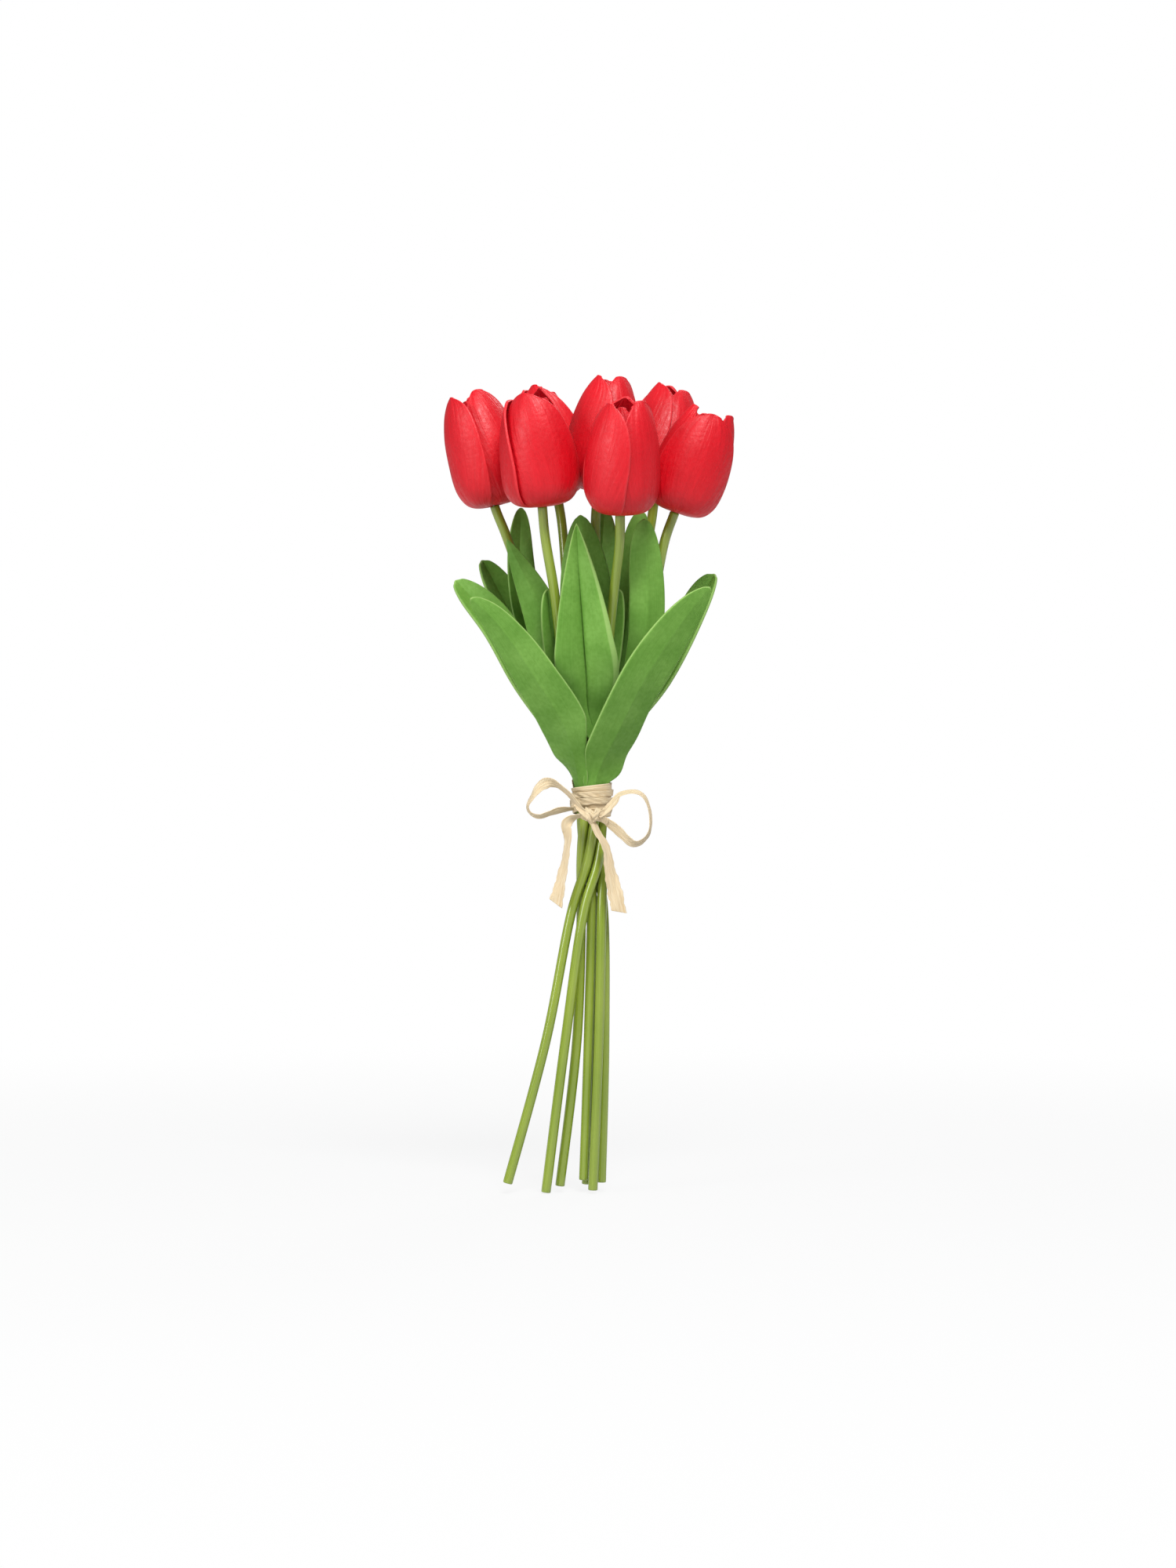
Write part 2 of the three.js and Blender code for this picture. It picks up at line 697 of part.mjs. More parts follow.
// The raffia wound round the stems, one unbroken band
function bandPoint(turn, share) {
  const angle = degrees(-100) + turn * 2 * Math.PI;
  const radius = bandInnerRadius + BAND_THICKNESS / 2;
  const height = -tieHalfHeight + BAND_WIDTH / 2 + turn * bandPitch + (share * BAND_WIDTH) / 2;
  return new THREE.Vector3(radius * Math.cos(angle), radius * Math.sin(angle), height);
}
const bandSolid = () =>
  shell((u, v) => bandPoint(v * BAND_TURNS, u), 1, Math.ceil(24 * BAND_TURNS), () => BAND_THICKNESS);

// The least gap between one turn of the band and the next, measured on points along its two edges
function leastBandGap() {
  let least = Infinity;
  for (let turn = 0; turn <= BAND_TURNS - 1; turn += 1 / 24) {
    for (let next = turn + 0.5; next <= Math.min(turn + 1.5, BAND_TURNS); next += 1 / 48)
      least = Math.min(least, bandPoint(turn, 1).distanceTo(bandPoint(next, -1)));
  }
  return least;
}

// A free stretch of the raffia: a flat ribbon whose face leans from the bow's plane by its tilt
function ribbonSolid({ points, widths, tilt }) {
  const route = new THREE.CatmullRomCurve3(points.map(vector), false, "centripetal");
  const depth = new THREE.Vector3(0, 1, 0);
  const surface = (u, v) => {
    const way = route.getTangent(v);
    const inPlane = way.clone().cross(depth).normalize();
    const lean = degrees(tilt);
    const face = depth.clone().multiplyScalar(Math.cos(lean)).addScaledVector(inPlane, Math.sin(lean));
    const place = v * (widths.length - 1);
    const k = Math.min(Math.floor(place), widths.length - 2);
    const width = lerp(widths[k], widths[k + 1], place - k);
    return route.getPoint(v).addScaledVector(face, (u * width) / 2);
  };
  return shell(surface, 1, 2 * (points.length - 1), () => RIBBON_THICKNESS);
}

// The bow's knot
function knotSolid() {
  return new THREE.SphereGeometry(0.5, 10, 7)
    .scale(...KNOT_SIZE)
    .translate(knotCentre.x, knotCentre.y, knotCentre.z);
}

const bunch = new THREE.Group();
function add(parent, name, geometry, material) {
  const mesh = new THREE.Mesh(geometry, material);
  mesh.name = name;
  parent.add(mesh);
}

const stems = TULIPS.map(stemLine);
stems.forEach((stem, k) => {
  const tulip = `tulip${k + 1}`;
  add(bunch, `${tulip}_stem`, stemSolid(stem), stemPlastic);
  add(bunch, `${tulip}_wire`, wireSolid(stem), wireSteel);
  const flower = new THREE.Group();
  flower.position.copy(stem.head);
  flower.quaternion
    .setFromUnitVectors(new THREE.Vector3(0, 0, 1), stem.axis)
    .multiply(new THREE.Quaternion().setFromAxisAngle(new THREE.Vector3(0, 0, 1), degrees(TULIPS[k].spin)));
  add(flower, `${tulip}_outer_petals`, outerPetals(), petalRed);
  const innerTurn = new THREE.Group();
  innerTurn.rotation.z = Math.PI / PETALS_PER_WHORL;
  add(innerTurn, `${tulip}_inner_petals`, innerPetals(), innerPetalRed);
  flower.add(innerTurn);
  add(flower, `${tulip}_foam_core`, foamCore(), foamRed);
  bunch.add(flower);
});
for (const leaf of LEAVES) add(bunch, leaf.name, leafSolid(leaf, stems), leafGreen);
add(bunch, "raffia_winding", bandSolid(), raffiaStraw);
add(bunch, "raffia_knot", knotSolid(), raffiaStraw);
for (const stretch of BOW) add(bunch, stretch.name, ribbonSolid(stretch), raffiaStraw);
console.log(`least gap between the raffia's turns: ${leastBandGap().toFixed(2)} mm`);

export default bunch;
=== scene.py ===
# %% [markdown]
# # A hand-tied bunch of seven artificial tulips
# The bunch has seven soft red flowers on plastic stems, with fourteen foam leaves, tied with raffia. The packed
# CAD model gives every piece's place and motion. This lesson dresses it: each cell makes one kind of piece or
# one finish, and everything stays in the CAD model's own frame, in metres.

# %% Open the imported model
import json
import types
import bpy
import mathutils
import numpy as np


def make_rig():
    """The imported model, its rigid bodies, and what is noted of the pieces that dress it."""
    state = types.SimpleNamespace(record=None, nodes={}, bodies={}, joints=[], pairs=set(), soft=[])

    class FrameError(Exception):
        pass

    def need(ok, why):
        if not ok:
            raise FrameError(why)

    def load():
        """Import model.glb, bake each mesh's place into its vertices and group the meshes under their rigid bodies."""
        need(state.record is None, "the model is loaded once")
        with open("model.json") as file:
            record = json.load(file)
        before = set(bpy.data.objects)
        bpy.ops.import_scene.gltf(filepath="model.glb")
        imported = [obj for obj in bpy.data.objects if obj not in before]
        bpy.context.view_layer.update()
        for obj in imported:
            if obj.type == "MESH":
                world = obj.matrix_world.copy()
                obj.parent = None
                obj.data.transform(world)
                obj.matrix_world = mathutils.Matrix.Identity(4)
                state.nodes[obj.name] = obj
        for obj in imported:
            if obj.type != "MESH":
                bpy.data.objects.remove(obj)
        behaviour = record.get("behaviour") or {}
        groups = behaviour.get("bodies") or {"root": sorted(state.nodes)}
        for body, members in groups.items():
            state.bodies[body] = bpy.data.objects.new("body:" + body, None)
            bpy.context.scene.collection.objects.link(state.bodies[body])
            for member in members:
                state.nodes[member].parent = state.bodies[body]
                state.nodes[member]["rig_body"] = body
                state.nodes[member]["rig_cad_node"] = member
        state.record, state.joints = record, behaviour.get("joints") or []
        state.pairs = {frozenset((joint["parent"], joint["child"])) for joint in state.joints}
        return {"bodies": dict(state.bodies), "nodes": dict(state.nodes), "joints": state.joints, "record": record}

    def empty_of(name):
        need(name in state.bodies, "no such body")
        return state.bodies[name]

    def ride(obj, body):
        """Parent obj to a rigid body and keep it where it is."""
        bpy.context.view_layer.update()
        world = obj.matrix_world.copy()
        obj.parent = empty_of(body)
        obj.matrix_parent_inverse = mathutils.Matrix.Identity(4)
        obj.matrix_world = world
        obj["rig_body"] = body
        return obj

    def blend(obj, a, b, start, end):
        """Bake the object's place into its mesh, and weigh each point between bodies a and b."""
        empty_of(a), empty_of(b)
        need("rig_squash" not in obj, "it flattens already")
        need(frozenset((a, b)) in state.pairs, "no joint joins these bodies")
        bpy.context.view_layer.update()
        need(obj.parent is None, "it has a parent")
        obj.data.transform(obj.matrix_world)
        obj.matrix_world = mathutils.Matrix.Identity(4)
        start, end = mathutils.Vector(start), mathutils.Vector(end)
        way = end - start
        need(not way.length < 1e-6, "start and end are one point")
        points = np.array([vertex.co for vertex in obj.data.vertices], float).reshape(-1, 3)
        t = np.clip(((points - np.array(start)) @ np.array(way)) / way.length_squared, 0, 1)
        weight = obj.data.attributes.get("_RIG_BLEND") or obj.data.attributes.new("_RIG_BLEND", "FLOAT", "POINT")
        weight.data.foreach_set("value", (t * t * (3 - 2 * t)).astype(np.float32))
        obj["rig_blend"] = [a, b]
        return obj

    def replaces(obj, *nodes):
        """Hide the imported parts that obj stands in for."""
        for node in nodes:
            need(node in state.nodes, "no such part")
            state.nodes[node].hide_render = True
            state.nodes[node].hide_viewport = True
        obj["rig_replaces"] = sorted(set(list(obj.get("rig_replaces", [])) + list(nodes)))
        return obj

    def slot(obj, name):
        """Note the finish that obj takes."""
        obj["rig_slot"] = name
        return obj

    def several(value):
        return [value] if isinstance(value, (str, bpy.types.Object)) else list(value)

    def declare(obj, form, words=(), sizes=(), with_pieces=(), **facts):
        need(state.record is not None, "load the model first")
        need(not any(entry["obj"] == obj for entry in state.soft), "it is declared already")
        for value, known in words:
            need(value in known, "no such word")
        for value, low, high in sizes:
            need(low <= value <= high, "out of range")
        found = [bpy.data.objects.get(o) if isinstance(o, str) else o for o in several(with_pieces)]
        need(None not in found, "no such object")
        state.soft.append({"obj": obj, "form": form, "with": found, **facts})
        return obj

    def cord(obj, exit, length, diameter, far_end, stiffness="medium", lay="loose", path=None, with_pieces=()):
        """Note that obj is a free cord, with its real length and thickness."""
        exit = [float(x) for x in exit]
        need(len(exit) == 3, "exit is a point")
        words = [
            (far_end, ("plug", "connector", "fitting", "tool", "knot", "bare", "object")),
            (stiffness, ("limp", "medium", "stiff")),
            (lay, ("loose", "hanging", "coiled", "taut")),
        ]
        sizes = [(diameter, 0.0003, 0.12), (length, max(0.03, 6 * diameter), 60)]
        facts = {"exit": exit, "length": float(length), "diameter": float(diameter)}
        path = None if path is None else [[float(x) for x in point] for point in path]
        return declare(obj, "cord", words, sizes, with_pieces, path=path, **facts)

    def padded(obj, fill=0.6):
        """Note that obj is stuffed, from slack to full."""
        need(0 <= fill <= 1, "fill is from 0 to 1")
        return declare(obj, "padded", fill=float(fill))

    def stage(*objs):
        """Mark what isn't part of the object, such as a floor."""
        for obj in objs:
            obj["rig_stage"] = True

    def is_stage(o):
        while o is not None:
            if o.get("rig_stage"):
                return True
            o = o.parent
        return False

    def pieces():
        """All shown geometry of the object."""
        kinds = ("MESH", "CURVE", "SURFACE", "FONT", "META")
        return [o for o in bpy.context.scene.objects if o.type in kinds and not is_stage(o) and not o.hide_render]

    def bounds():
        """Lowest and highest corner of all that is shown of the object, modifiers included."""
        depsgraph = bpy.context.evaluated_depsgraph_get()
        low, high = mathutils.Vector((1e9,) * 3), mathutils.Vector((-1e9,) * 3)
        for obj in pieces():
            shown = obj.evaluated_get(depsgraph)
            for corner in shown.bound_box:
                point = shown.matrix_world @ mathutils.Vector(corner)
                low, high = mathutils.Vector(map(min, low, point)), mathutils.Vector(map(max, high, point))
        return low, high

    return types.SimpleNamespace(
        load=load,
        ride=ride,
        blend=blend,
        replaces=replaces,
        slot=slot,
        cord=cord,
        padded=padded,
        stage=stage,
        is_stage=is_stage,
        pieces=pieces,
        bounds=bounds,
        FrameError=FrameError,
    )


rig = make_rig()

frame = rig.load()

import json
import math
import random

import bmesh
import bpy
from mathutils import Matrix, Quaternion, Vector

cad_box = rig.bounds()
MM = 0.001
print("nodes", len(frame["nodes"]), "bodies", len(frame["bodies"]))

# %% [markdown]
# ## Camera
# The photograph was taken level with the tie, from straight in front. A long lens at 1.5 m keeps the near and far
# flowers almost the same size, as they are there. The frame is 654 mm high at the bunch.

# %% Camera
camera_lens = bpy.data.cameras.new("photo_camera")
camera_lens.lens = 82.57
camera_lens.sensor_width = 36
camera = bpy.data.objects.new("photo_camera", camera_lens)
camera.location = (-1.6 * MM, -1500 * MM, 6.5 * MM)
camera.rotation_euler = (math.radians(90), 0, 0)
bpy.context.scene.collection.objects.link(camera)
bpy.context.scene.camera = camera
bpy.context.scene.view_settings.view_transform = "Standard"
print("camera at", tuple(camera.location))

# %% [markdown]
# ## Floor, world and lamps
# The bunch stands on a white sweep. The floor is mostly white to the camera and keeps a part of the light it
# really gets, so the shadow stays. Three soft lamps light the bunch at a plain level: a colour that faces them
# renders about as it is written.

# %% Nodes in few words
def linear(red, green, blue):
    """A colour read off as 0-255 numbers, as the linear colour that shader sockets take."""
    def one(c):
        c /= 255
        return c / 12.92 if c <= 0.04045 else ((c + 0.055) / 1.055) ** 2.4
    return (one(red), one(green), one(blue), 1.0)


class Nodes:
    """A node tree with short calls: add a node with its settings, and link sockets by name."""

    def __init__(self, tree):
        self.tree = tree

    def add(self, kind, inputs=None, **settings):
        node = self.tree.nodes.new("ShaderNode" + kind)
        for key, value in settings.items():
            setattr(node, key, value)
        for socket, value in (inputs or {}).items():
            if isinstance(value, bpy.types.NodeSocket):
                self.tree.links.new(value, node.inputs[socket])
            else:
                node.inputs[socket].default_value = value
        return node


# %% Floor
floor_height = cad_box[0][2] - 0.0002
shape = bmesh.new()
bmesh.ops.create_grid(shape, x_segments=8, y_segments=8, size=6.0)
bmesh.ops.translate(shape, verts=shape.verts, vec=(0, 0, floor_height))
floor_mesh = bpy.data.meshes.new("floor")
shape.to_mesh(floor_mesh)
shape.free()
floor = bpy.data.objects.new("floor", floor_mesh)
bpy.context.scene.collection.objects.link(floor)
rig.stage(floor)

floor_paint = bpy.data.materials.new("floor_paint")
floor_paint.use_nodes = True
floor_paint.node_tree.nodes.clear()
n = Nodes(floor_paint.node_tree)
path = n.add("LightPath")
seen = n.add("Math", {0: path.outputs["Is Camera Ray"], 1: path.outputs["Is Glossy Ray"]}, operation="MAXIMUM")
seen = n.add("Math", {0: seen.outputs[0], 1: path.outputs["Is Transmission Ray"]}, operation="MAXIMUM")
far = n.add("VectorMath", {0: n.add("TexCoord").outputs["Object"]}, operation="LENGTH")
fade = n.add("MapRange", {"Value": far.outputs["Value"], "From Min": 0.2, "From Max": 0.9, "To Min": 0.86, "To Max": 1.0},
             interpolation_type="SMOOTHSTEP")
share = n.add("Math", {0: seen.outputs[0], 1: fade.outputs[0]}, operation="MULTIPLY")
matt = n.add("BsdfDiffuse", {"Color": (0.62, 0.62, 0.62, 1)})
white = n.add("Emission", {"Color": (1, 1, 1, 1), "Strength": 1.0})
mix = n.add("MixShader", {0: share.outputs[0], 1: matt.outputs[0], 2: white.outputs[0]})
n.add("OutputMaterial", {"Surface": mix.outputs[0]})
floor_mesh.materials.append(floor_paint)

# %% World
world = bpy.data.worlds.new("studio")
bpy.context.scene.world = world
world.use_nodes = True
world.node_tree.nodes.clear()
n = Nodes(world.node_tree)
path = n.add("LightPath")
seen = n.add("Math", {0: path.outputs["Is Camera Ray"], 1: path.outputs["Is Transmission Ray"]}, operation="MAXIMUM")
room = n.add("Background", {"Color": (0.95, 0.97, 1, 1), "Strength": 0.28})
paper = n.add("Background", {"Color": (1, 1, 1, 1), "Strength": 1.0})
mix = n.add("MixShader", {0: seen.outputs[0], 1: room.outputs[0], 2: paper.outputs[0]})
n.add("OutputWorld", {"Surface": mix.outputs[0]})


# %% Lamps
def soft_lamp(name, place, aim, size, watts):
    light = bpy.data.lights.new(name, "AREA")
    light.shape = "DISK"
    light.size = size
    light.energy = watts
    lamp = bpy.data.objects.new(name, light)
    lamp.location = place
    lamp.rotation_euler = (Vector(aim) - Vector(place)).to_track_quat("-Z", "Y").to_euler()
    bpy.context.scene.collection.objects.link(lamp)


soft_lamp("key_lamp", (0.2, -0.95, 1.25), (0, 0, 0.05), 0.6, 23)
soft_lamp("fill_lamp", (-1.1, -0.9, 0.45), (0, 0, 0.05), 0.7, 8.5)
soft_lamp("back_lamp", (0.4, 0.9, 0.9), (0, 0, 0.1), 0.6, 4)

# %% [markdown]
# ## Lines through points
# Stems, leaves and raffia all follow a smooth line through a few points, the same line as in the CAD model: a
# Catmull-Rom curve whose steps are eased by the square root of each distance, so it never loops between points.


# %% A flowing line
class FlowingLine:
    """A smooth line through points in millimetres. at() goes by the points, step_at() by length."""

    def __init__(self, points, samples=300):
        self.points = [Vector(p) for p in points]
        self.steps = [k / samples for k in range(samples + 1)]
        places = [self.at(t) for t in self.steps]
        self.lengths = [0.0]
        for a, b in zip(places, places[1:]):
            self.lengths.append(self.lengths[-1] + (b - a).length)
        self.length = self.lengths[-1]

    def at(self, t):
        p = self.points
        spans = len(p) - 1
        k = min(int(max(t, 0) * spans), spans - 1)
        w = t * spans - k
        p1, p2 = p[k], p[k + 1]
        p0 = p[k - 1] if k else 2 * p1 - p2
        p3 = p[k + 2] if k + 2 <= spans else 2 * p2 - p1
        d0, d1, d2 = (math.sqrt(max((b - a).length, 1e-6)) for a, b in ((p0, p1), (p1, p2), (p2, p3)))
        out = ((p1 - p0) / d0 - (p2 - p0) / (d0 + d1) + (p2 - p1) / d1) * d1
        into = ((p2 - p1) / d1 - (p3 - p1) / (d1 + d2) + (p3 - p2) / d2) * d1
        return p1 + out * w + (3 * (p2 - p1) - 2 * out - into) * w**2 + (2 * (p1 - p2) + out + into) * w**3

    def way(self, t):
        return (self.at(min(t + 2e-4, 1)) - self.at(max(t - 2e-4, 0))).normalized()

    def step_at(self, v):
        goal = min(max(v, 0), 1) * self.length
        low, high = 0, len(self.lengths) - 1
        while high - low > 1:
            middle = (low + high) // 2
            low, high = (middle, high) if self.lengths[middle] <= goal else (low, middle)
        part = (goal - self.lengths[low]) / max(self.lengths[high] - self.lengths[low], 1e-9)
        return self.steps[low] + part * (self.steps[high] - self.steps[low])


def mix(a, b, t):
    return a + (b - a) * t


def ease(t):
    t = min(max(t, 0.0), 1.0)
    return t * t * (3 - 2 * t)


# %% [markdown]
# ## Sheets and tubes from a grid
# A petal, a leaf, a ribbon and a tube are all a grid of squares that is laid somewhere else. So one helper makes
# the grid with its UV map, and a function for each piece says where a point of it goes. The UV map then runs
# across and along every piece, which is just what veins and fibres need.


# %% Lay a grid
def lay_grid(shape, across, along, place):
    """Adds a grid to a bmesh and lays each point, -1 to 1 across and 0 to 1 along, where place says, in mm."""
    if not shape.loops.layers.uv:
        shape.loops.layers.uv.new("surface")
    made = bmesh.ops.create_grid(shape, x_segments=across, y_segments=along, size=1.0, calc_uvs=True)
    for vert in made["verts"]:
        vert.co = Vector(place(vert.co.x, (vert.co.y + 1) / 2)) * MM
    return made["verts"]


def finish_piece(name, shape, material, thickness=None, levels=0, weights=None, even=True):
    """Turns a bmesh into a smooth-shaded object at the origin, with a wall and a subdivision if they are asked."""
    mesh = bpy.data.meshes.new(name)
    for face in shape.faces:
        face.smooth = True
    shape.to_mesh(mesh)
    shape.free()
    piece = bpy.data.objects.new(name, mesh)
    bpy.context.scene.collection.objects.link(piece)
    mesh.materials.append(material)
    if thickness:
        wall = piece.modifiers.new("wall", "SOLIDIFY")
        wall.thickness = thickness * MM
        wall.offset = 0
        wall.use_even_offset = even
        if weights:
            group = piece.vertex_groups.new(name="wall")
            for index, weight in weights.items():
                group.add([index], weight, "REPLACE")
            wall.vertex_group = "wall"
    if levels:
        rounding = piece.modifiers.new("rounding", "SUBSURF")
        rounding.levels = rounding.render_levels = levels
    return piece


# %% [markdown]
# ## Effects that several finishes share
# Petals, leaves, stems and raffia all have lines that run along them, soft blotches, and paler rims, which are a
# painted highlight along the edge. Each effect is a node group that puts out a mask, so every material can use it at
# its own scale.


# %% Shared effects
def effect(name, inputs, outputs):
    tree = bpy.data.node_groups.new(name, "ShaderNodeTree")
    for socket, value in inputs.items():
        made = tree.interface.new_socket(socket, in_out="INPUT", socket_type="NodeSocketFloat")
        made.default_value = value
    for socket in outputs:
        tree.interface.new_socket(socket, in_out="OUTPUT", socket_type="NodeSocketFloat")
    n = Nodes(tree)
    return tree, n, tree.nodes.new("NodeGroupInput").outputs, tree.nodes.new("NodeGroupOutput")


running_lines, n, given, out = effect(
    "running_lines", {"Across": 40.0, "Along": 2.0, "Fan": 0.0, "Sharpness": 0.5}, ["Lines"])
uv = n.add("SeparateXYZ", {0: n.add("TexCoord").outputs["UV"]})
side = n.add("Math", {0: uv.outputs[0], 1: 0.5}, operation="SUBTRACT")
rise = n.add("Math", {0: uv.outputs[1], 1: 1.0}, operation="SUBTRACT")
spread = n.add("Math", {0: rise.outputs[0], 1: given["Fan"], 2: 1.0}, operation="MULTIPLY_ADD")
fanned = n.add("Math", {0: side.outputs[0], 1: spread.outputs[0]}, operation="DIVIDE")
x = n.add("Math", {0: fanned.outputs[0], 1: given["Across"]}, operation="MULTIPLY")
y = n.add("Math", {0: uv.outputs[1], 1: given["Along"]}, operation="MULTIPLY")
spot = n.add("CombineXYZ", {0: x.outputs[0], 1: y.outputs[0]})
waves = n.add("TexNoise", {"Vector": spot.outputs[0], "Scale": 1.0, "Detail": 3.0, "Roughness": 0.55})
low = n.add("Math", {0: given["Sharpness"], 1: 0.5}, operation="MULTIPLY")
high = n.add("Math", {0: 1.0, 1: low.outputs[0]}, operation="SUBTRACT")
lines = n.add("MapRange", {"Value": waves.outputs["Fac"], "From Min": low.outputs[0], "From Max": high.outputs[0]},
              interpolation_type="SMOOTHSTEP")
n.tree.links.new(lines.outputs[0], out.inputs["Lines"])

soft_blotches, n, given, out = effect("soft_blotches", {"Size": 0.01, "Detail": 3.0}, ["Blotches"])
scale = n.add("Math", {0: 1.0, 1: given["Size"]}, operation="DIVIDE")
cloud = n.add("TexNoise", {"Vector": n.add("TexCoord").outputs["Object"], "Scale": scale.outputs[0],
                           "Detail": given["Detail"], "Roughness": 0.5})
blotches = n.add("MapRange", {"Value": cloud.outputs["Fac"], "From Min": 0.3, "From Max": 0.7},
                 interpolation_type="SMOOTHSTEP")
n.tree.links.new(blotches.outputs[0], out.inputs["Blotches"])

# Mask of the edges and tip of a sheet, where a painted highlight makes the rim paler.
painted_rim_highlight, n, given, out = effect("painted_rim_highlight", {"Width": 0.03}, ["Rim"])
uv = n.add("SeparateXYZ", {0: n.add("TexCoord").outputs["UV"]})
side = n.add("Math", {0: uv.outputs[0], 1: 0.5}, operation="SUBTRACT")
side = n.add("Math", {0: side.outputs[0]}, operation="ABSOLUTE")
edge = n.add("Math", {0: 0.5, 1: side.outputs[0]}, operation="SUBTRACT")
tip = n.add("Math", {0: 1.0, 1: uv.outputs[1]}, operation="SUBTRACT")
edge = n.add("Math", {0: edge.outputs[0], 1: tip.outputs[0]}, operation="MINIMUM")
rim = n.add("MapRange", {"Value": edge.outputs[0], "From Min": 0.0, "From Max": given["Width"], "To Min": 1.0,
                         "To Max": 0.0}, interpolation_type="SMOOTHSTEP")
n.tree.links.new(rim.outputs[0], out.inputs["Rim"])
print("effects", [g.name for g in bpy.data.node_groups])


# %% Start of a finish
def new_finish(name, **sockets):
    """A material with a Principled shader whose plain numbers are set on its own sockets."""
    material = bpy.data.materials.new(name)
    material.use_nodes = True
    n = Nodes(material.node_tree)
    shader = material.node_tree.nodes["Principled BSDF"]
    for socket, value in sockets.items():
        shader.inputs[socket.replace("_", " ")].default_value = value
    return material, n, shader


def use_effect(n, group, **inputs):
    node = n.add("Group", node_tree=group)
    for socket, value in inputs.items():
        node.inputs[socket].default_value = value
    return node.outputs[0]


def blend_colours(n, factor, first, second):
    node = n.add("Mix", data_type="RGBA")
    for socket, value in ((0, factor), (6, first), (7, second)):
        if isinstance(value, bpy.types.NodeSocket):
            n.tree.links.new(value, node.inputs[socket])
        else:
            node.inputs[socket].default_value = value
    return node.outputs[2]


def weigh(n, first, share, second=None):
    """first times share, plus second."""
    return n.add("Math", {0: first, 1: share, 2: 0.0 if second is None else second},
                 operation="MULTIPLY_ADD").outputs[0]


# %% [markdown]
# ## Raffia finish
# Raffia is a strip of dried leaf: cream, with straw-coloured fibres all along it, dull, and a little glossy on the
# ridges. Lines along the UV map give the fibres, in the colour and in the bump.

# %% Raffia finish
raffia_straw, n, shader = new_finish("raffia_straw", Specular_IOR_Level=0.3, Sheen_Weight=0.15, Sheen_Roughness=0.5)
fine = use_effect(n, running_lines, Across=30.0, Along=2.4, Sharpness=0.7)
broad = use_effect(n, running_lines, Across=8.0, Along=4.0, Sharpness=0.6)
patches = use_effect(n, soft_blotches, Size=0.006)
colour = blend_colours(n, broad, linear(216, 186, 138), linear(240, 221, 184))
colour = blend_colours(n, weigh(n, fine, 0.55), colour, linear(246, 231, 202))
colour = blend_colours(n, weigh(n, patches, 0.25), colour, linear(226, 198, 150))
n.tree.links.new(colour, shader.inputs["Base Color"])
rough = n.add("MapRange", {"Value": fine, "To Min": 0.68, "To Max": 0.5})
n.tree.links.new(rough.outputs[0], shader.inputs["Roughness"])
height = weigh(n, fine, 0.5, broad)
bump = n.add("Bump", {"Height": height, "Strength": 0.6, "Distance": 0.0003})
n.tree.links.new(bump.outputs[0], shader.inputs["Normal"])

# %% [markdown]
# ## Bow
# The bow's two loops and two tails are free raffia, flat ribbons that turn as they go, so they look wide in some
# places and thin in others. Each is a grid laid along its route, with a few long folds across it, and is declared
# as a cord with its measured length.

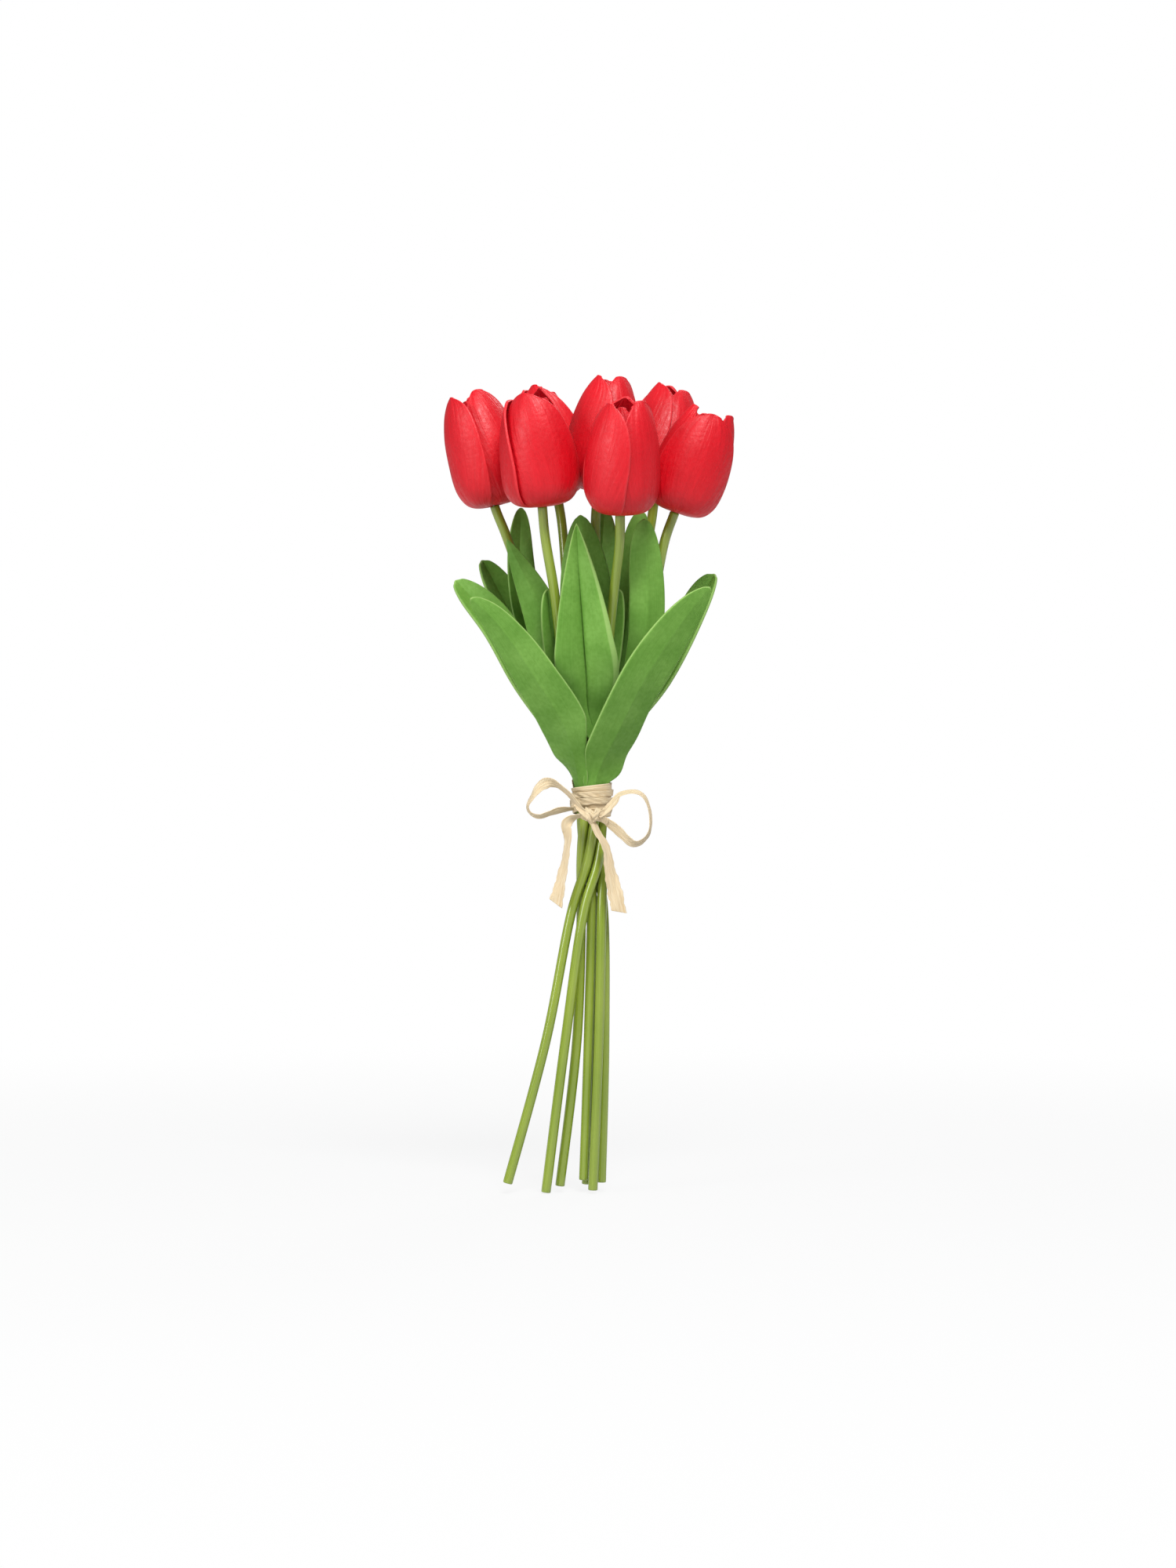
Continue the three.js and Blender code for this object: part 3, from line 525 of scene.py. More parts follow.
# %% Routes of the bow, in millimetres
BOW = {
    "bow_loop_left": dict(
        points=[(-2.2, -11.4, -6.3), (-4.9, -11.3, -3.9), (-8.6, -11.4, 1.3), (-11.7, -11.5, 4.3), (-14.6, -11.6, 6.3),
                (-17.8, -11.4, 7.1), (-21.2, -11.2, 5.6), (-24.4, -11, 1.6), (-26.6, -10.6, -2.8), (-25.5, -10.2, -5.4),
                (-22.1, -9.8, -6.9), (-17.8, -9.4, -5.8), (-13.6, -9, -4.5), (-9.6, -7.6, -3.9), (-7.4, -6.3, -3.7)],
        widths=[3.4, 4, 4, 4, 4.2, 4.4, 4.4, 4.2, 3.8, 3.8, 4, 4, 4, 3.8, 3.2],
        tilts=[40, 36, 30, 27, 38, 70, 105, 152, 166, 164, 154, 146, 138, 152, 156], far_end="object"),
    "bow_loop_right": dict(
        points=[(2.6, -11.6, -6.6), (4.9, -11.3, -5.2), (7.5, -11.5, -2.6), (9.4, -11.8, -0.6), (11.1, -12, 1.9),
                (13.3, -12, 2.8), (16.3, -12, 3.3), (19.2, -11.8, 2.9), (21.5, -11.6, 1.3), (23.1, -11.4, -1.6),
                (24.1, -11.2, -4.9), (24.5, -11, -8.1), (24.4, -10.8, -11.4), (23.4, -10.6, -14.6),
                (21.4, -10.4, -16.8), (19.2, -10.2, -18.1), (16.9, -10.2, -18.1), (14, -10.2, -15.9),
                (10.7, -10.3, -12.7), (7.5, -10.5, -10.1), (4.9, -10.8, -8.2), (2.4, -11.2, -7.5)],
        widths=[3.2, 3.8, 4.2, 4, 3.8, 3.8, 4, 4, 3.8, 3.6, 3.6, 3.6, 3.6, 3.8, 3.8, 3.8, 4, 4, 4, 4, 3.8, 3.2],
        tilts=[44, 38, 54, 46, 27, 24, 27, 27, 24, 18, 17, 16, 16, 26, 30, 34, 48, 60, 66, 62, 54, 50],
        far_end="object"),
    "bow_tail_left": dict(
        points=[(-2.6, -11, -7), (-4.6, -11, -6.6), (-6.9, -11, -7.2), (-9.4, -11, -8.6), (-10.7, -10.9, -10.8),
                (-10.2, -10.7, -13.4), (-9.9, -10.6, -16.4), (-10.4, -10.5, -20), (-11.3, -10.3, -26),
                (-13.4, -10.1, -36), (-15.4, -9.8, -44.4)],
        widths=[3, 3.2, 3.4, 4.2, 4.6, 4.2, 3.8, 3.8, 4.2, 5, 6.4],
        tilts=[40, 34, 40, 64, 92, 118, 136, 138, 132, 112, 98], far_end="bare"),
    "bow_tail_right": dict(
        points=[(-0.7, -11.8, -7.9), (0.9, -11.6, -10.4), (2.6, -11.3, -14), (4.9, -11.1, -17.7), (6.3, -10.9, -21.6),
                (7.4, -10.7, -28.6), (9.6, -10.4, -38.4), (11.6, -10.2, -47.8)],
        widths=[3, 3, 3.2, 3.6, 4, 5, 6.4, 5.8], tilts=[64, 66, 62, 54, 50, 66, 82, 84], far_end="bare"),
}


# %% Ribbons
def between(values, t):
    place = min(max(t, 0), 1) * (len(values) - 1)
    k = min(int(place), len(values) - 2)
    return mix(values[k], values[k + 1], place - k)


def lay_ribbon(shape, route, widths, tilts, seed, across=10, along=110, slant=0.0):
    """A crinkled ribbon along a route. tilts are degrees between the bow's plane and the ribbon's face."""
    chance = random.Random(seed)
    waves = [(chance.uniform(2, 4.5), chance.uniform(0, 6), chance.uniform(1.5, 4)) for _ in range(3)]
    depth = Vector((0, 1, 0))

    def place(u, v):
        t = route.step_at(v + slant * (u - 1) * ease((v - 0.7) * 3.3))
        way = route.way(t)
        in_plane = way.cross(depth).normalized()
        lean = math.radians(between(tilts, t))
        face = depth * math.cos(lean) + in_plane * math.sin(lean)
        level = face.cross(way).normalized()
        crinkle = sum(0.09 * math.sin(f * u + p + s * 6.28 * v) for f, p, s in waves)
        ragged = 1 + 0.06 * math.sin(37 * v + seed) + 0.04 * math.sin(83 * v + 2 * seed)
        return route.at(t) + face * (u * between(widths, t) * ragged / 2) + level * crinkle

    return lay_grid(shape, across, along, place)


for seed, (name, bow) in enumerate(BOW.items()):
    route = FlowingLine(bow["points"])
    shape = bmesh.new()
    lay_ribbon(shape, route, bow["widths"], bow["tilts"], seed, slant=0.0 if bow["far_end"] == "object" else 0.03)
    ribbon = finish_piece("raffia_" + name, shape, raffia_straw, thickness=0.3, levels=1)
    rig.ride(ribbon, "bunch")
    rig.replaces(ribbon, name)
    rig.slot(ribbon, "raffia")
    steps = [route.at(route.step_at(k / 80)) * MM for k in range(81)]
    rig.cord(ribbon, exit=steps[0], length=route.length * MM, diameter=0.0048, far_end=bow["far_end"],
            stiffness="stiff", lay="loose", path=steps)
    print(name, round(route.length, 1), "mm")

# %% [markdown]
# ## Winding
# The raffia goes round the stems nearly four times, each turn lying a little over the last, and two loose stretches
# cross it at a slant. The ribbon is a grid along a screw line, with its upper edge standing out over the next turn.


# %% Winding
def wound(turns, base, pitch, radius, width, lap, first_angle, seed, arch=0.0):
    chance = random.Random(seed)
    waves = [(chance.uniform(2, 5), chance.uniform(0, 6), chance.uniform(4, 9)) for _ in range(3)]

    def place(u, v):
        angle = math.radians(first_angle) + v * turns * 2 * math.pi
        crinkle = sum(0.08 * math.sin(f * u + p + s * 6.28 * v) for f, p, s in waves)
        broad = width * (1 + 0.1 * math.sin(5 * angle / 3 + seed) + 0.06 * math.sin(31 * v + seed))
        out = radius + lap * u + crinkle
        rise = base + pitch * v * turns + 0.35 * math.sin(angle * 0.9 + seed) + arch * math.sin(math.pi * v)
        return out * math.cos(angle), out * math.sin(angle), rise + u * broad / 2

    return place


shape = bmesh.new()
lay_grid(shape, 8, 330, wound(3.75, -6.1, 3.35, 8.1, 3.9, 0.3, -100, 3))
lay_grid(shape, 8, 90, wound(0.6, 0.9, 4.4, 8.75, 2.5, 0.1, 172, 5))
lay_grid(shape, 8, 90, wound(0.6, -1.6, 0.8, 8.95, 3.0, 0.15, 172, 8, arch=0.9))
winding = finish_piece("raffia_winding_band", shape, raffia_straw, thickness=0.35, levels=1)
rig.ride(winding, "bunch")
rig.replaces(winding, "raffia_winding")
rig.slot(winding, "raffia")
print("winding", len(winding.data.polygons), "faces")

# %% [markdown]
# ## Knot
# The knot is the same strip crossing itself: the ends from the left and from the right run over each other, and a
# short turn holds them. Each stretch is a short ribbon that lies a little further out than the one under it.

# %% Knot
KNOT_STRIPS = [
    ([(6.8, -10.9, -9.3), (4.3, -11.6, -7.9), (1.7, -12, -7.3), (-0.6, -11.4, -6.6)], 2.8, 70),
    ([(6.8, -11.2, -3.9), (4.9, -11.8, -5.2), (2.9, -12.2, -6.5), (0.7, -12.5, -7.9), (-1.9, -12, -7.6),
      (-4.5, -11, -6.4)], 2.6, 72),
    ([(-6.6, -11, -1.5), (-4.9, -11.8, -3.9), (-2.9, -12.7, -5.8), (-0.9, -13, -7.4), (0.6, -11.9, -9.4)], 2.5, 74),
    ([(-2.9, -11.4, -3.7), (-0.6, -12.6, -5), (1, -13.1, -6.6), (1.9, -12.2, -8)], 1.9, 72),
    ([(2.7, -10.6, -3.6), (2.5, -12.8, -4.2), (1.8, -13.5, -5.8), (1.1, -13.2, -7.8), (0.6, -11, -8.8)], 2.2, 84),
]
shape = bmesh.new()
core = bmesh.ops.create_icosphere(shape, subdivisions=3, radius=1.0)
for vert in core["verts"]:
    wrinkle = 1 + 0.08 * math.sin(9 * vert.co.x + 4 * vert.co.z) + 0.05 * math.sin(13 * vert.co.z)
    vert.co = Vector((0.6 + 2.4 * wrinkle * vert.co.x, -10.9 + 1.2 * wrinkle * vert.co.y,
                      -6.7 + 1.6 * wrinkle * vert.co.z)) * MM
for seed, (points, width, tilt) in enumerate(KNOT_STRIPS):
    lay_ribbon(shape, FlowingLine(points, 80), [width, 1.05 * width, width], [tilt] * 2, seed + 11, along=36)
knot = finish_piece("raffia_bow_knot", shape, raffia_straw, thickness=0.35, levels=1)
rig.ride(knot, "bunch")
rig.replaces(knot, "raffia_knot")
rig.slot(knot, "raffia")

# %% [markdown]
# ## Where the tulips stand
# Every tulip has a foot, a place in the tie, a flower foot and a direction. The numbers are those of the CAD
# model, because each dressed piece has to lie where its solid lies.

# %% The seven tulips, in millimetres
TULIPS = [
    dict(slot=150, foot=(3.9, -0.5, -159.6), below=[(5.4, 1.2, -100), (4.8, 2.2, -45)],
         above=[(-14.5, 2.5, 45), (-26.8, 2, 85)], neck=(-36, 1.5, 110.8), head=(-40.6, 1, 122.6),
         aim=(-51, 0, 170)),
    dict(slot=210, foot=(-2.2, 3.6, -160.8), below=[(0.8, 4.5, -100), (0.7, 4.8, -45)],
         above=[(-10.8, -9.5, 45), (-15.4, -16, 85)], head=(-20.4, -22, 120.6), aim=(-24.6, -29, 166.6)),
    dict(slot=90, foot=(0.4, -5.8, -162.3), below=[(2.9, -4.2, -100), (4.1, -2.8, -45)],
         above=[(-5.6, 9, 45), (-10, 14.5, 85)], head=(-14.6, 20, 128.4), aim=(-22.3, 26, 175)),
    dict(slot=None, foot=(-3.4, -1.5, -158.5), below=[(-1.4, -1, -100), (0, -0.2, -45)],
         above=[(1.5, -1.4, 45), (2.2, -2.6, 85)], head=(2.6, -4, 128.4), aim=(6.8, -5, 176)),
    dict(slot=270, foot=(-13.3, -1.5, -161), below=[(-6.2, -0.5, -100), (-4.4, 1.5, -45)],
         above=[(5, -11.5, 45), (9, -21, 85)], head=(11.5, -33, 116.4), aim=(12.3, -42, 163)),
    dict(slot=30, foot=(-19.1, -6, -163.2), below=[(-11, -5.5, -100), (-3, -5.2, -45)],
         above=[(11, 8.5, 45), (18.5, 14.3, 85)], head=(26.6, 20, 128.4), aim=(33, 27, 176)),
    dict(slot=330, foot=(-35, -7, -159.3), below=[(-19, -6, -100), (-8, -3.4, -45)],
         above=[(15.5, -7, 45), (25.6, -11.5, 85)], head=(34.2, -16, 118.6), aim=(49.6, -20, 162)),
]
TIE_TURNS = [(-26, -85), (-9, -45), (9, 0)]


def in_tie(tulip, height, turn):
    if tulip["slot"] is None:
        return Vector((0, 0, height))
    angle = math.radians(tulip["slot"] + turn)
    return Vector((4.5 * math.cos(angle), 4.5 * math.sin(angle), height))


for tulip in TULIPS:
    head = Vector(tulip["head"])
    axis = (Vector(tulip["aim"]) - head).normalized()
    below = [Vector(p) for p in (tulip["foot"], *tulip["below"])]
    above = [Vector(p) for p in tulip["above"]]
    tie = [in_tie(tulip, *place) for place in TIE_TURNS]
    points = [below[0].lerp(below[1], -0.05), *below, *tie, tie[-1].lerp(above[0], 0.36), *above,
              Vector(tulip.get("neck", head - 12 * axis)), head, head + 15 * axis]
    tulip.update(line=FlowingLine(points, 400), steps=len(points) - 1, axis=axis, place=head)
print("stem lines", [round(t["line"].length) for t in TULIPS])

# %% [markdown]
# ## Stem finish
# The stems are soft plastic tubes, olive green and satin, a little yellower in some places, with pale lines along
# them: partly faint lines from the mould, partly painted highlight streaks. Their gloss draws long pale streaks too.

# %% Stem finish
stem_green, n, shader = new_finish("stem_green", Specular_IOR_Level=0.75)
lines = use_effect(n, running_lines, Across=16.0, Along=1.2, Sharpness=0.7)
patches = use_effect(n, soft_blotches, Size=0.05)
colour = blend_colours(n, patches, linear(118, 142, 32), linear(140, 160, 46))
# Pale lines along the stem: partly mould lines, partly painted highlight streaks.
colour = blend_colours(n, weigh(n, lines, 0.45), colour, linear(168, 186, 84))
n.tree.links.new(colour, shader.inputs["Base Color"])
rough = n.add("MapRange", {"Value": lines, "To Min": 0.16, "To Max": 0.24})
n.tree.links.new(rough.outputs[0], shader.inputs["Roughness"])
bump = n.add("Bump", {"Height": lines, "Strength": 0.15, "Distance": 0.0001})
n.tree.links.new(bump.outputs[0], shader.inputs["Normal"])

# %% Stems
STEM_RADIUS = 2.0
for number, tulip in enumerate(TULIPS, 1):
    line, last = tulip["line"], tulip["steps"] - 1

    def place(u, v):
        t = mix(1, last, v) / tulip["steps"]
        way = line.way(t)
        side = way.cross(Vector((0, 1, 0))).normalized()
        ahead = way.cross(side)
        angle = math.pi * u
        wide = STEM_RADIUS * (1 + 0.015 * math.sin(23 * v + number))
        return line.at(t) + side * (wide * math.cos(angle)) + ahead * (wide * math.sin(angle))

    shape = bmesh.new()
    lay_grid(shape, 24, 120, place)
    bmesh.ops.remove_doubles(shape, verts=shape.verts, dist=1e-6)
    ends = [e for e in shape.edges if e.is_boundary]
    bmesh.ops.holes_fill(shape, edges=ends, sides=64)
    caps = [f for f in shape.faces if len(f.verts) > 4]
    bmesh.ops.recalc_face_normals(shape, faces=shape.faces)
    rings = [e for f in caps for e in f.edges]
    bmesh.ops.bevel(shape, geom=rings, offset=0.45 * MM, segments=3, profile=0.5, affect="EDGES", material=-1)
    foot = min((f for f in shape.faces if len(f.verts) > 4), key=lambda f: f.calc_center_median().z)
    bmesh.ops.inset_region(shape, faces=[foot], thickness=0.5 * MM)
    bmesh.ops.inset_region(shape, faces=[foot], thickness=0.02 * MM, depth=-2 * MM)
    stem = finish_piece(f"tulip{number}_stem_tube", shape, stem_green)
    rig.ride(stem, "bunch")
    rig.replaces(stem, f"tulip{number}_stem")
    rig.slot(stem, "stem_plastic")
print("stems made")

# %% [markdown]
# ## Petal finish
# The petals are soft moulded foam, coral red and satin. Veins fan out from each petal's foot, the skin has a fine
# leathery grain, and the thin rim is painted a little paler, as a painted highlight.

# %% Petal finish
petal_red, n, shader = new_finish("petal_red", Specular_IOR_Level=0.4)
veins = use_effect(n, running_lines, Across=10.0, Along=1.8, Fan=0.72, Sharpness=0.4)
fine = use_effect(n, running_lines, Across=40.0, Along=7.0, Fan=0.6, Sharpness=0.4)
patches = use_effect(n, soft_blotches, Size=0.014)
grain = use_effect(n, soft_blotches, Size=0.0016, Detail=3.0)
rim = use_effect(n, painted_rim_highlight, Width=0.035)
colour = blend_colours(n, veins, linear(198, 4, 22), linear(214, 12, 30))
colour = blend_colours(n, weigh(n, patches, 0.35), colour, linear(228, 24, 40))
colour = blend_colours(n, weigh(n, fine, 0.15), colour, linear(184, 2, 14))
# Painted highlight: the rim along the petal's edges and tip is lightened.
colour = blend_colours(n, weigh(n, rim, 0.4), colour, linear(240, 72, 78))
n.tree.links.new(colour, shader.inputs["Base Color"])
rough = n.add("MapRange", {"Value": grain, "To Min": 0.4, "To Max": 0.54})
n.tree.links.new(rough.outputs[0], shader.inputs["Roughness"])
height = weigh(n, veins, 1.0, weigh(n, fine, 0.12, weigh(n, grain, 0.35)))
bump = n.add("Bump", {"Height": height, "Strength": 0.5, "Distance": 0.00032})
n.tree.links.new(bump.outputs[0], shader.inputs["Normal"])

# %% [markdown]
# ## Petals
# Each flower has three outer petals and three inner ones, and each whorl is one piece on a foot ring. A petal is a
# grid bent round a cup, narrow at the foot and round at the tip. One edge of it lies over its neighbour.

# %% The cup
CUP_FORM = [(0.21, 0.011), (0.5, 0.02), (0.76, 0.058), (0.94, 0.15), (1, 0.28), (0.985, 0.43), (0.9, 0.61),
            (0.72, 0.79), (0.51, 0.92), (0.34, 1)]


def cup_point(v):
    """Radius and height of the cup at a share of its side, as shares of its reach and height."""
    last = len(CUP_FORM) - 1
    k = min(int(v * last), last - 1)
    w = v * last - k
    a, b, c, d = (Vector(CUP_FORM[min(max(i, 0), last)]) for i in (k - 1, k, k + 1, k + 2))
    start, end = (c - a) / 2, (d - b) / 2
    return b + start * w + (3 * (c - b) - 2 * start - end) * w**2 + (2 * (b - c) + start + end) * w**3


def petal_width(v, blunt):
    """How much of its full reach a petal has at a share of its side: full low down, closing to a round tip."""
    if v < 0.5:
        return mix(0.84, 1, math.sin(v * math.pi))
    s = min((v - 0.5) / 0.5, 1)
    return max(0.28, (1 - s**blunt) ** 0.5)


OUTER = dict(inset=0.0, lift=0.0, height=48.5, spiral=1.1)
INNER = dict(inset=3.7, lift=1.55, height=46.5, spiral=1.0)


def petal(whorl, at, seed, reach=(70, 70), tip=0, end=0.96, tall=1.0, flare=0.0, blunt=2.4, laps=(-1, 1)):
    """A petal round the cup: at is its direction in degrees, reach goes to its two edges, tip turns the tip aside,
    and it ends at a share of the cup's side."""
    chance = random.Random(seed)
    phase = chance.uniform(0, 6)

    def place(u, v):
        v = 1 - (1 - v) ** 1.4
        share = cup_point(v * end)
        radius = share[0] * (14.85 - whorl["inset"])
        side = reach[1] if u > 0 else reach[0]
        angle = math.radians(at + tip * ease((v - 0.4) / 0.6) + u * side * petal_width(v, blunt))
        lap = (laps[1] if u > 0 else laps[0]) * abs(u) * whorl["spiral"] * ease(4.5 * v)
        lip = 0.5 * ease((abs(u) - 0.84) / 0.16) * ease(3 * v) * ease((1 - v) * 6)
        groove = -0.3 * math.exp(-((u / 0.1) ** 2)) * ease(v * 8) * ease((0.6 - v) * 3)
        wave = 0.18 * math.sin(5 * u + phase) * math.sin(7 * v + phase) * ease(3 * v)
        out = max(radius + lap + lip + groove + wave + flare * ease((v - 0.5) * 2), 2.95)
        round_off = 0.6 * u * u * ease((v - 0.8) * 5)
        height = whorl["lift"] + share[1] * (whorl["height"] * tall - whorl["lift"]) - round_off
        return Vector((out * math.cos(angle), out * math.sin(angle), height))

    return place


# %% The petals of each flower
FLOWERS = {
    1: [dict(at=214, reach=(74, 59), tip=-2, end=0.957, flare=3.4, blunt=3.6), dict(at=325, tip=-22, end=0.993, flare=0.4),
        dict(at=85, end=0.95)],
    2: [dict(at=166, end=0.885, flare=1.6, blunt=2.0),
        dict(at=278, reach=(78, 78), tip=-34, end=0.946, flare=0.9, blunt=5.0),
        dict(at=48, end=0.98, tall=1.01)],
    3: [dict(at=285, tip=-40, end=0.955), dict(at=45, tip=28, end=0.95, blunt=2.0), dict(at=165, end=0.96)],
    4: [dict(at=207, tip=22, end=0.957, blunt=2.6), dict(at=325, end=0.966, flare=0.8, blunt=3.2), dict(at=85, end=0.93)],
    5: [dict(at=208, tip=22, end=0.915, flare=0.9, blunt=2.2), dict(at=330, end=0.94, flare=2.0, blunt=2.2),
        dict(at=90, tip=-16, end=0.96, blunt=3.4)],
    6: [dict(at=205, tip=15, end=0.97, blunt=4.0), dict(at=325, end=0.91, flare=0.9, blunt=2.6),
        dict(at=95, end=1.0, tall=1.02, blunt=3.4)],
    7: [dict(at=275, reach=(64, 72), tip=7, end=0.857, blunt=4.0, laps=(1, 1)),
        dict(at=34, tip=-42, end=0.897, flare=1.1, blunt=3.0, laps=(-1, 1)),
        dict(at=168, tip=32, end=0.885, blunt=1.8, laps=(-1, -1))],
}
HEARTS = {
    1: [dict(at=245, end=0.93, flare=0.8), dict(at=5, end=0.92), dict(at=125, end=0.93)],
    4: [dict(at=258, end=0.97), dict(at=18, end=0.93), dict(at=138, end=0.93)],
    7: [dict(at=335, end=0.86), dict(at=98, end=0.884, blunt=3.4), dict(at=215, end=0.86)],
}

# %% Petals
for number, tulip in enumerate(TULIPS, 1):
    turn = Vector((0, 0, 1)).rotation_difference(tulip["axis"])
    stand = tulip["stand"] = Matrix.Translation(tulip["place"] * MM) @ turn.to_matrix().to_4x4()
    hearts = HEARTS.get(number, [dict(at=p["at"] + 60, end=0.92, reach=(66, 66)) for p in FLOWERS[number]])
    for kind, whorl, petals in (("outer", OUTER, FLOWERS[number]), ("inner", INNER, hearts)):
        shape = bmesh.new()
        for k, form in enumerate(petals):
            lay_grid(shape, 20, 34, petal(whorl, seed=10 * number + k, **form))
        bmesh.ops.recalc_face_normals(shape, faces=shape.faces)
        bmesh.ops.transform(shape, matrix=stand, verts=shape.verts)
        cup = finish_piece(f"tulip{number}_{kind}_whorl", shape, petal_red, thickness=1.2, levels=1, even=False)
        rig.ride(cup, f"tulip{number}_flower")
        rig.replaces(cup, f"tulip{number}_{kind}_petals")
        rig.slot(cup, f"{kind}_petal")
print("petals made")

# %% [markdown]
# ## Leaf finish
# The leaves are the same soft foam in leaf green: matt, softly mottled, with faint lines along them and a thin pale
# rim, a painted highlight along the edges and tip.

# %% Leaf finish
leaf_green, n, shader = new_finish("leaf_green", Specular_IOR_Level=0.25)
patches = use_effect(n, soft_blotches, Size=0.016)
specks = use_effect(n, soft_blotches, Size=0.0016, Detail=3.0)
lines = use_effect(n, running_lines, Across=22.0, Along=1.2, Sharpness=0.4)
rim = use_effect(n, painted_rim_highlight, Width=0.02)
colour = blend_colours(n, patches, linear(98, 148, 54), linear(118, 166, 72))
colour = blend_colours(n, weigh(n, lines, 0.16), colour, linear(138, 182, 88))
colour = blend_colours(n, weigh(n, specks, 0.25), colour, linear(76, 126, 36))
# Painted highlight: a pale rim along the leaf's edges and tip, and over a hem strip.
colour = blend_colours(n, weigh(n, rim, 0.5), colour, linear(176, 208, 126))
n.tree.links.new(colour, shader.inputs["Base Color"])
rough = n.add("MapRange", {"Value": specks, "To Min": 0.55, "To Max": 0.72})
n.tree.links.new(rough.outputs[0], shader.inputs["Roughness"])
height = weigh(n, lines, 0.6, weigh(n, specks, 0.2))
bump = n.add("Bump", {"Height": height, "Strength": 0.3, "Distance": 0.0003})
n.tree.links.new(bump.outputs[0], shader.inputs["Normal"])

# %% The fourteen leaves, in millimetres
LEAVES = {
    "tulip1_front": dict(height=24, side=(0.1, -1), points=[(-20, -5.6, 74), (-35.4, -6.4, 108.4)],
                         back=(-0.2, -0.98), half=9, slender=1.5, widest=0.48, taper=(1.6, 0.8), fold=14),
    "tulip1_rear": dict(height=22, side=(0.3, 0.95), points=[(-26.6, 10.4, 76), (-30, 12.4, 100), (-29.8, 13, 122.8)],
                        back=(-0.1, 1), half=6.4, fold=18),
    "tulip2_outer": dict(angle=217.56, foot=3.6, back=(-0.42, -0.9), half=10.5, slender=0.45, widest=0.36,
                         taper=(1.5, 0.5), seam=1, spread=2.6, turn=10, flat=4.8, fold=7,
                         points=[(-10.8, -16.4, 29), (-22.6, -25.2, 49), (-32.2, -28.5, 63.8), (-41.5, -30.5, 75.4),
                                 (-49.6, -31.5, 82.4)]),
    "tulip2_inner": dict(height=26, side=(-0.6, 0.8), points=[(-15.8, -8.6, 62), (-18.6, -12, 87)],
                         back=(-0.3, 0.95), half=5.5, fold=25),
    "tulip3_outer": dict(angle=165.27, back=(-0.68, 0.73), half=9.8, fold=16,
                         points=[(-15.8, -1.6, 28), (-29.6, -3, 53), (-41.6, -3.8, 74), (-57, -3.4, 91.2)]),
    "tulip3_rear": dict(angle=131, points=[(-11.4, 14.5, 30), (-22, 21, 54), (-46.8, 25, 101.4)],
                        back=(-0.62, 0.78), half=10, fold=22),
    "tulip4_front": dict(height=34, side=(-0.1, -1), points=[(-1.2, -8.4, 70), (-4.8, -10.4, 118)],
                         back=(-0.05, -1), half=12.8, slender=1.2, widest=0.4, taper=(2.2, 0.6), fold=22),
    "tulip4_rear": dict(angle=82, points=[(2, 14, 34), (2, 18, 60), (5.5, 22, 123)],
                        back=(0.1, 1), half=9, fold=24),
    "tulip5_outer": dict(height=24, side=(0.15, -1), hollow_out=True, slender=1.2, widest=0.42, taper=(1.3, 0.85),
                         points=[(-1.4, -13.4, 37), (-1.9, -16.8, 52), (-4.4, -21.4, 88), (-6.4, -25.8, 113.4)],
                         feet=(0,), back=(0.05, 1), half=15.8, fold=38, channel=0.46, hem=0.77),
    "tulip5_inner": dict(height=32, side=(0.45, 0.9), points=[(8.8, -9, 62), (11.4, -12.8, 87)],
                         back=(0.3, 0.95), half=4.4, fold=20),
    "tulip6_outer": dict(angle=356.23, points=[(16.4, 2, 28), (31, 4, 51), (51.6, 6, 94.5)],
                         back=(0.7, 0.72), half=8.6, slender=2.4, widest=0.74, fold=26),
    "tulip6_inner": dict(height=26, side=(-0.1, -1), points=[(14.6, 7.6, 75), (20.8, 11, 121.6)],
                         back=(0.1, -1), half=7.8, fold=22),
    "tulip7_outer": dict(angle=282.44, foot=3.6, back=(0.55, -0.84), half=10.8, slender=0.38, widest=0.42,
                         taper=(2.3, 0.6), seam=-1, spread=2.8, turn=7, flat=5.8, fold=5,
                         points=[(10.8, -17, 29), (20.9, -24.6, 49), (31, -27, 65), (40.4, -28, 78),
                                 (48.4, -28.5, 87)]),
    "tulip7_inner": dict(height=31, side=(0.1, -1), slender=1.25, points=[(22.4, -16.6, 70), (21.5, -21, 115.6)],
                         back=(0.1, -1), half=7.7, fold=16),
}
SEAM_X = -2.43
TONGUE_RADIUS = 7.1


def stem_at(number, height):
    line = TULIPS[number - 1]["line"]
    low, high = 0.0, 1.0
    for _ in range(40):
        middle = (low + high) / 2
        low, high = (middle, high) if line.at(middle).z < height else (low, middle)
    return line.at(low)


# %% Leaves
def leaf_half_width(v, foot, leaf):
    widest = leaf.get("widest", 0.58)
    if v < widest:
        return mix(foot, leaf["half"], math.sin(v / widest * math.pi / 2) ** leaf.get("slender", 1))
    s = min((v - widest) / (1 - widest), 1)
    point, fullness = leaf.get("taper", (2.7, 0.5))
    return max(1.7 if fullness < 0.65 else 0.5, leaf["half"] * (1 - s**point) ** fullness)


